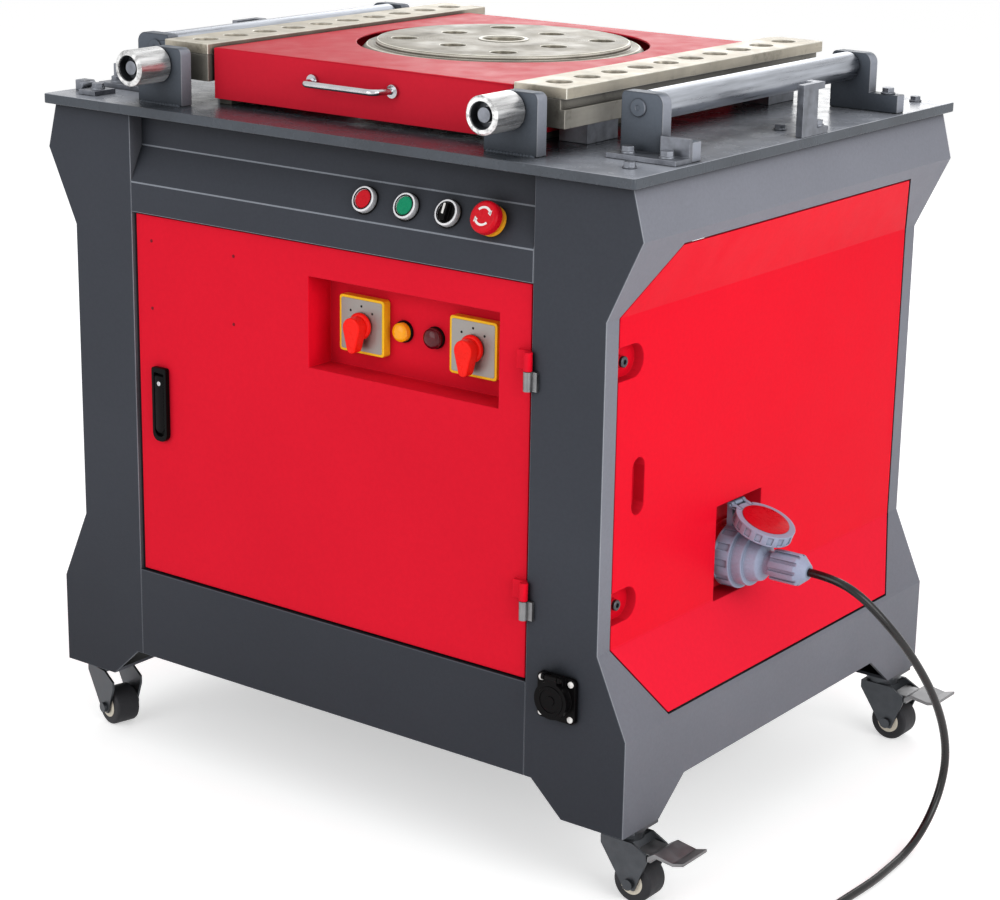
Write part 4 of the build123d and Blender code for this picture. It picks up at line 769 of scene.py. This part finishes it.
def make_lid_disc():
    along = Vector((math.cos(LID_TILT), 0, -math.sin(LID_TILT)))
    outward = Vector((math.sin(LID_TILT), 0, math.cos(LID_TILT)))
    at = place(LID_HINGE + along * LID_CENTRE, along, outward)

    def build(bm):
        lathe(bm, at, [(0, 1.4), (29, 1.4), (29, 2.8), (28, 3.4), (14, 3.7), (0, 3.8)], steps=64)

    piece("connector_lid_disc", "connector_flap", "red_plastic", build)


make_lid_disc()


# Cable: the route from the gland to the coil, then the coil's half turns, as one spline.
CABLE_D = 0.010
ROUTE = [(498, -56, 342), (528, -56, 342), (564, -51, 328), (596, -33, 290), (613, -2, 246), (624, 32, 194),
         (628, 57, 146), (628, 70, 102), (626, 65, 64), (624, 46, 34), (624, 16, 15), (625, -20, 6),
         (628, -62, 6), (630, -104, 6), (627, -162, 6), (624, -238, 6), (624, -302, 6)]
COIL_CENTRE = (700, -312)
COIL_R = 76
COIL_STEP = 12.8
COIL_LAYER = 10.8
COIL_HALF_TURNS = 5
FLOOR_Z = 6
PLUG_AT = (-118, 26)
PLUG_LEAD = 10
TIE_Y, TIE_Z = -62.8, 11.5


def coil_points(per_half=8):
    ends = [(-COIL_R, FLOOR_Z)]
    for half in range(1, COIL_HALF_TURNS + 1):
        reach = COIL_R - half * COIL_STEP / 2
        ends.append((reach if half % 2 else -reach, FLOOR_Z))
    inner = abs(ends[-1][0])
    for half in range(COIL_HALF_TURNS - 1):
        reach = inner + half * COIL_STEP / 2
        ends.append((reach if half % 2 else -reach, FLOOR_Z + COIL_LAYER))
    ends.append(PLUG_AT)
    points = []
    step = math.pi / per_half
    swell = 1 / math.cos(step / 2)
    for count, ((x0, z0), (x1, z1)) in enumerate(zip(ends, ends[1:])):
        side = -1 if count % 2 == 0 else 1
        radius = math.hypot(x1 - x0, z1 - z0) / 2
        for k in range(per_half):
            a = (k + 0.5) * step
            along = swell * math.cos(a)
            points.append((COIL_CENTRE[0] + (x0 + x1) / 2 + (x0 - x1) / 2 * along,
                           COIL_CENTRE[1] + side * radius * swell * math.sin(a),
                           (z0 + z1) / 2 + (z0 - z1) / 2 * along))
    end = (COIL_CENTRE[0] + PLUG_AT[0], COIL_CENTRE[1], PLUG_AT[1])
    return points + [end, (end[0], end[1] - PLUG_LEAD, end[2])]


def make_tie():
    """A strap round the coil's turns, where they lie side by side at the front."""
    at = place((COIL_CENTRE[0], COIL_CENTRE[1] + TIE_Y, TIE_Z), (0, 1, 0), (1, 0, 0))

    def build(bm):
        frame_prism(bm, at, rounded_box(33, 23, 6), rounded_box(31.2, 21.2, 5.1), -6, 6)

    return piece("coil_tie", "cabinet", "black", build)


def make_cable():
    points = ROUTE + coil_points()
    curve = bpy.data.curves.new("cable", "CURVE")
    curve.dimensions = "3D"
    curve.bevel_depth = CABLE_D / 2
    curve.bevel_resolution = 5
    curve.resolution_u = 8
    curve.use_fill_caps = True
    spline = curve.splines.new("NURBS")
    spline.points.add(len(points) - 1)
    for point, (x, y, z) in zip(spline.points, points):
        point.co = (x / 1000, y / 1000, z / 1000, 1)
    spline.order_u = 3
    spline.use_endpoint_u = True
    curve.materials.append(M["rubber"])
    cable = bpy.data.objects.new("cable", curve)
    scene.collection.objects.link(cable)
    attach(cable, "cabinet")
    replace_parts(cable, "power_cable", "cable_coil")
    make_tie()


make_cable()


# Studio: a pale floor, a white surround and soft lamps.
FLOOR_HALF = 9
FLOOR_GLOW = 0.45
WORLD_LIT, WORLD_SEEN = 0.6, 1.0
LAMP_AIM = Vector((0, 0, 0.45))
# Each lamp's name, place in metres, watts and size in metres.
LAMPS = (("key", (3.4, -1.0, 1.7), 62, 2.4), ("fill", (-0.9, -3.7, 1.6), 44, 2.6),
         ("top", (0.2, 0.4, 3.6), 8, 2.4), ("back", (-1.5, 3.4, 2.0), 34, 2.4))


def seen_ray(tree):
    """1 where the camera looks straight at a surface, or sees it in a mirror or through glass."""
    path = tree.nodes.new("ShaderNodeLightPath")
    value = path.outputs["Is Camera Ray"]
    for name in ("Is Glossy Ray", "Is Transmission Ray"):
        node = tree.nodes.new("ShaderNodeMath")
        node.operation = "MAXIMUM"
        tree.links.new(value, node.inputs[0])
        tree.links.new(path.outputs[name], node.inputs[1])
        value = node.outputs[0]
    return value


def make_floor():
    mesh = bpy.data.meshes.new("floor")
    corners = [(x * FLOOR_HALF, y * FLOOR_HALF, 0) for x, y in ((-1, -1), (1, -1), (1, 1), (-1, 1))]
    mesh.from_pydata(corners, [], [(0, 1, 2, 3)])
    floor = bpy.data.objects.new("floor", mesh)
    scene.collection.objects.link(floor)
    s = Shader("floor_paint", (0.9, 0.9, 0.9, 1), 0.9, specular=0.0)
    s.bsdf.inputs["Emission Color"].default_value = (1, 1, 1, 1)
    s.link(s.math("MULTIPLY", seen_ray(s.tree), FLOOR_GLOW), s.bsdf.inputs["Emission Strength"])
    mesh.materials.append(s.mat)


def make_surround():
    world = bpy.data.worlds.new("surround")
    scene.world = world
    world.use_nodes = True
    tree = world.node_tree
    tree.nodes.clear()
    out = tree.nodes.new("ShaderNodeOutputWorld")
    mix = tree.nodes.new("ShaderNodeMixShader")
    lit = tree.nodes.new("ShaderNodeBackground")
    seen = tree.nodes.new("ShaderNodeBackground")
    lit.inputs["Strength"].default_value = WORLD_LIT
    seen.inputs["Strength"].default_value = WORLD_SEEN
    lit.inputs["Color"].default_value = seen.inputs["Color"].default_value = (1, 1, 1, 1)
    tree.links.new(seen_ray(tree), mix.inputs["Fac"])
    tree.links.new(lit.outputs[0], mix.inputs[1])
    tree.links.new(seen.outputs[0], mix.inputs[2])
    tree.links.new(mix.outputs[0], out.inputs["Surface"])


def make_lamps():
    for name, at, power, size in LAMPS:
        data = bpy.data.lights.new(name, "AREA")
        data.energy = power
        data.size = size
        lamp = bpy.data.objects.new(name, data)
        lamp.location = at
        aim = LAMP_AIM - Vector(at)
        lamp.rotation_euler = aim.to_track_quat("-Z", "Y").to_euler()
        scene.collection.objects.link(lamp)


make_floor()
make_surround()
make_lamps()
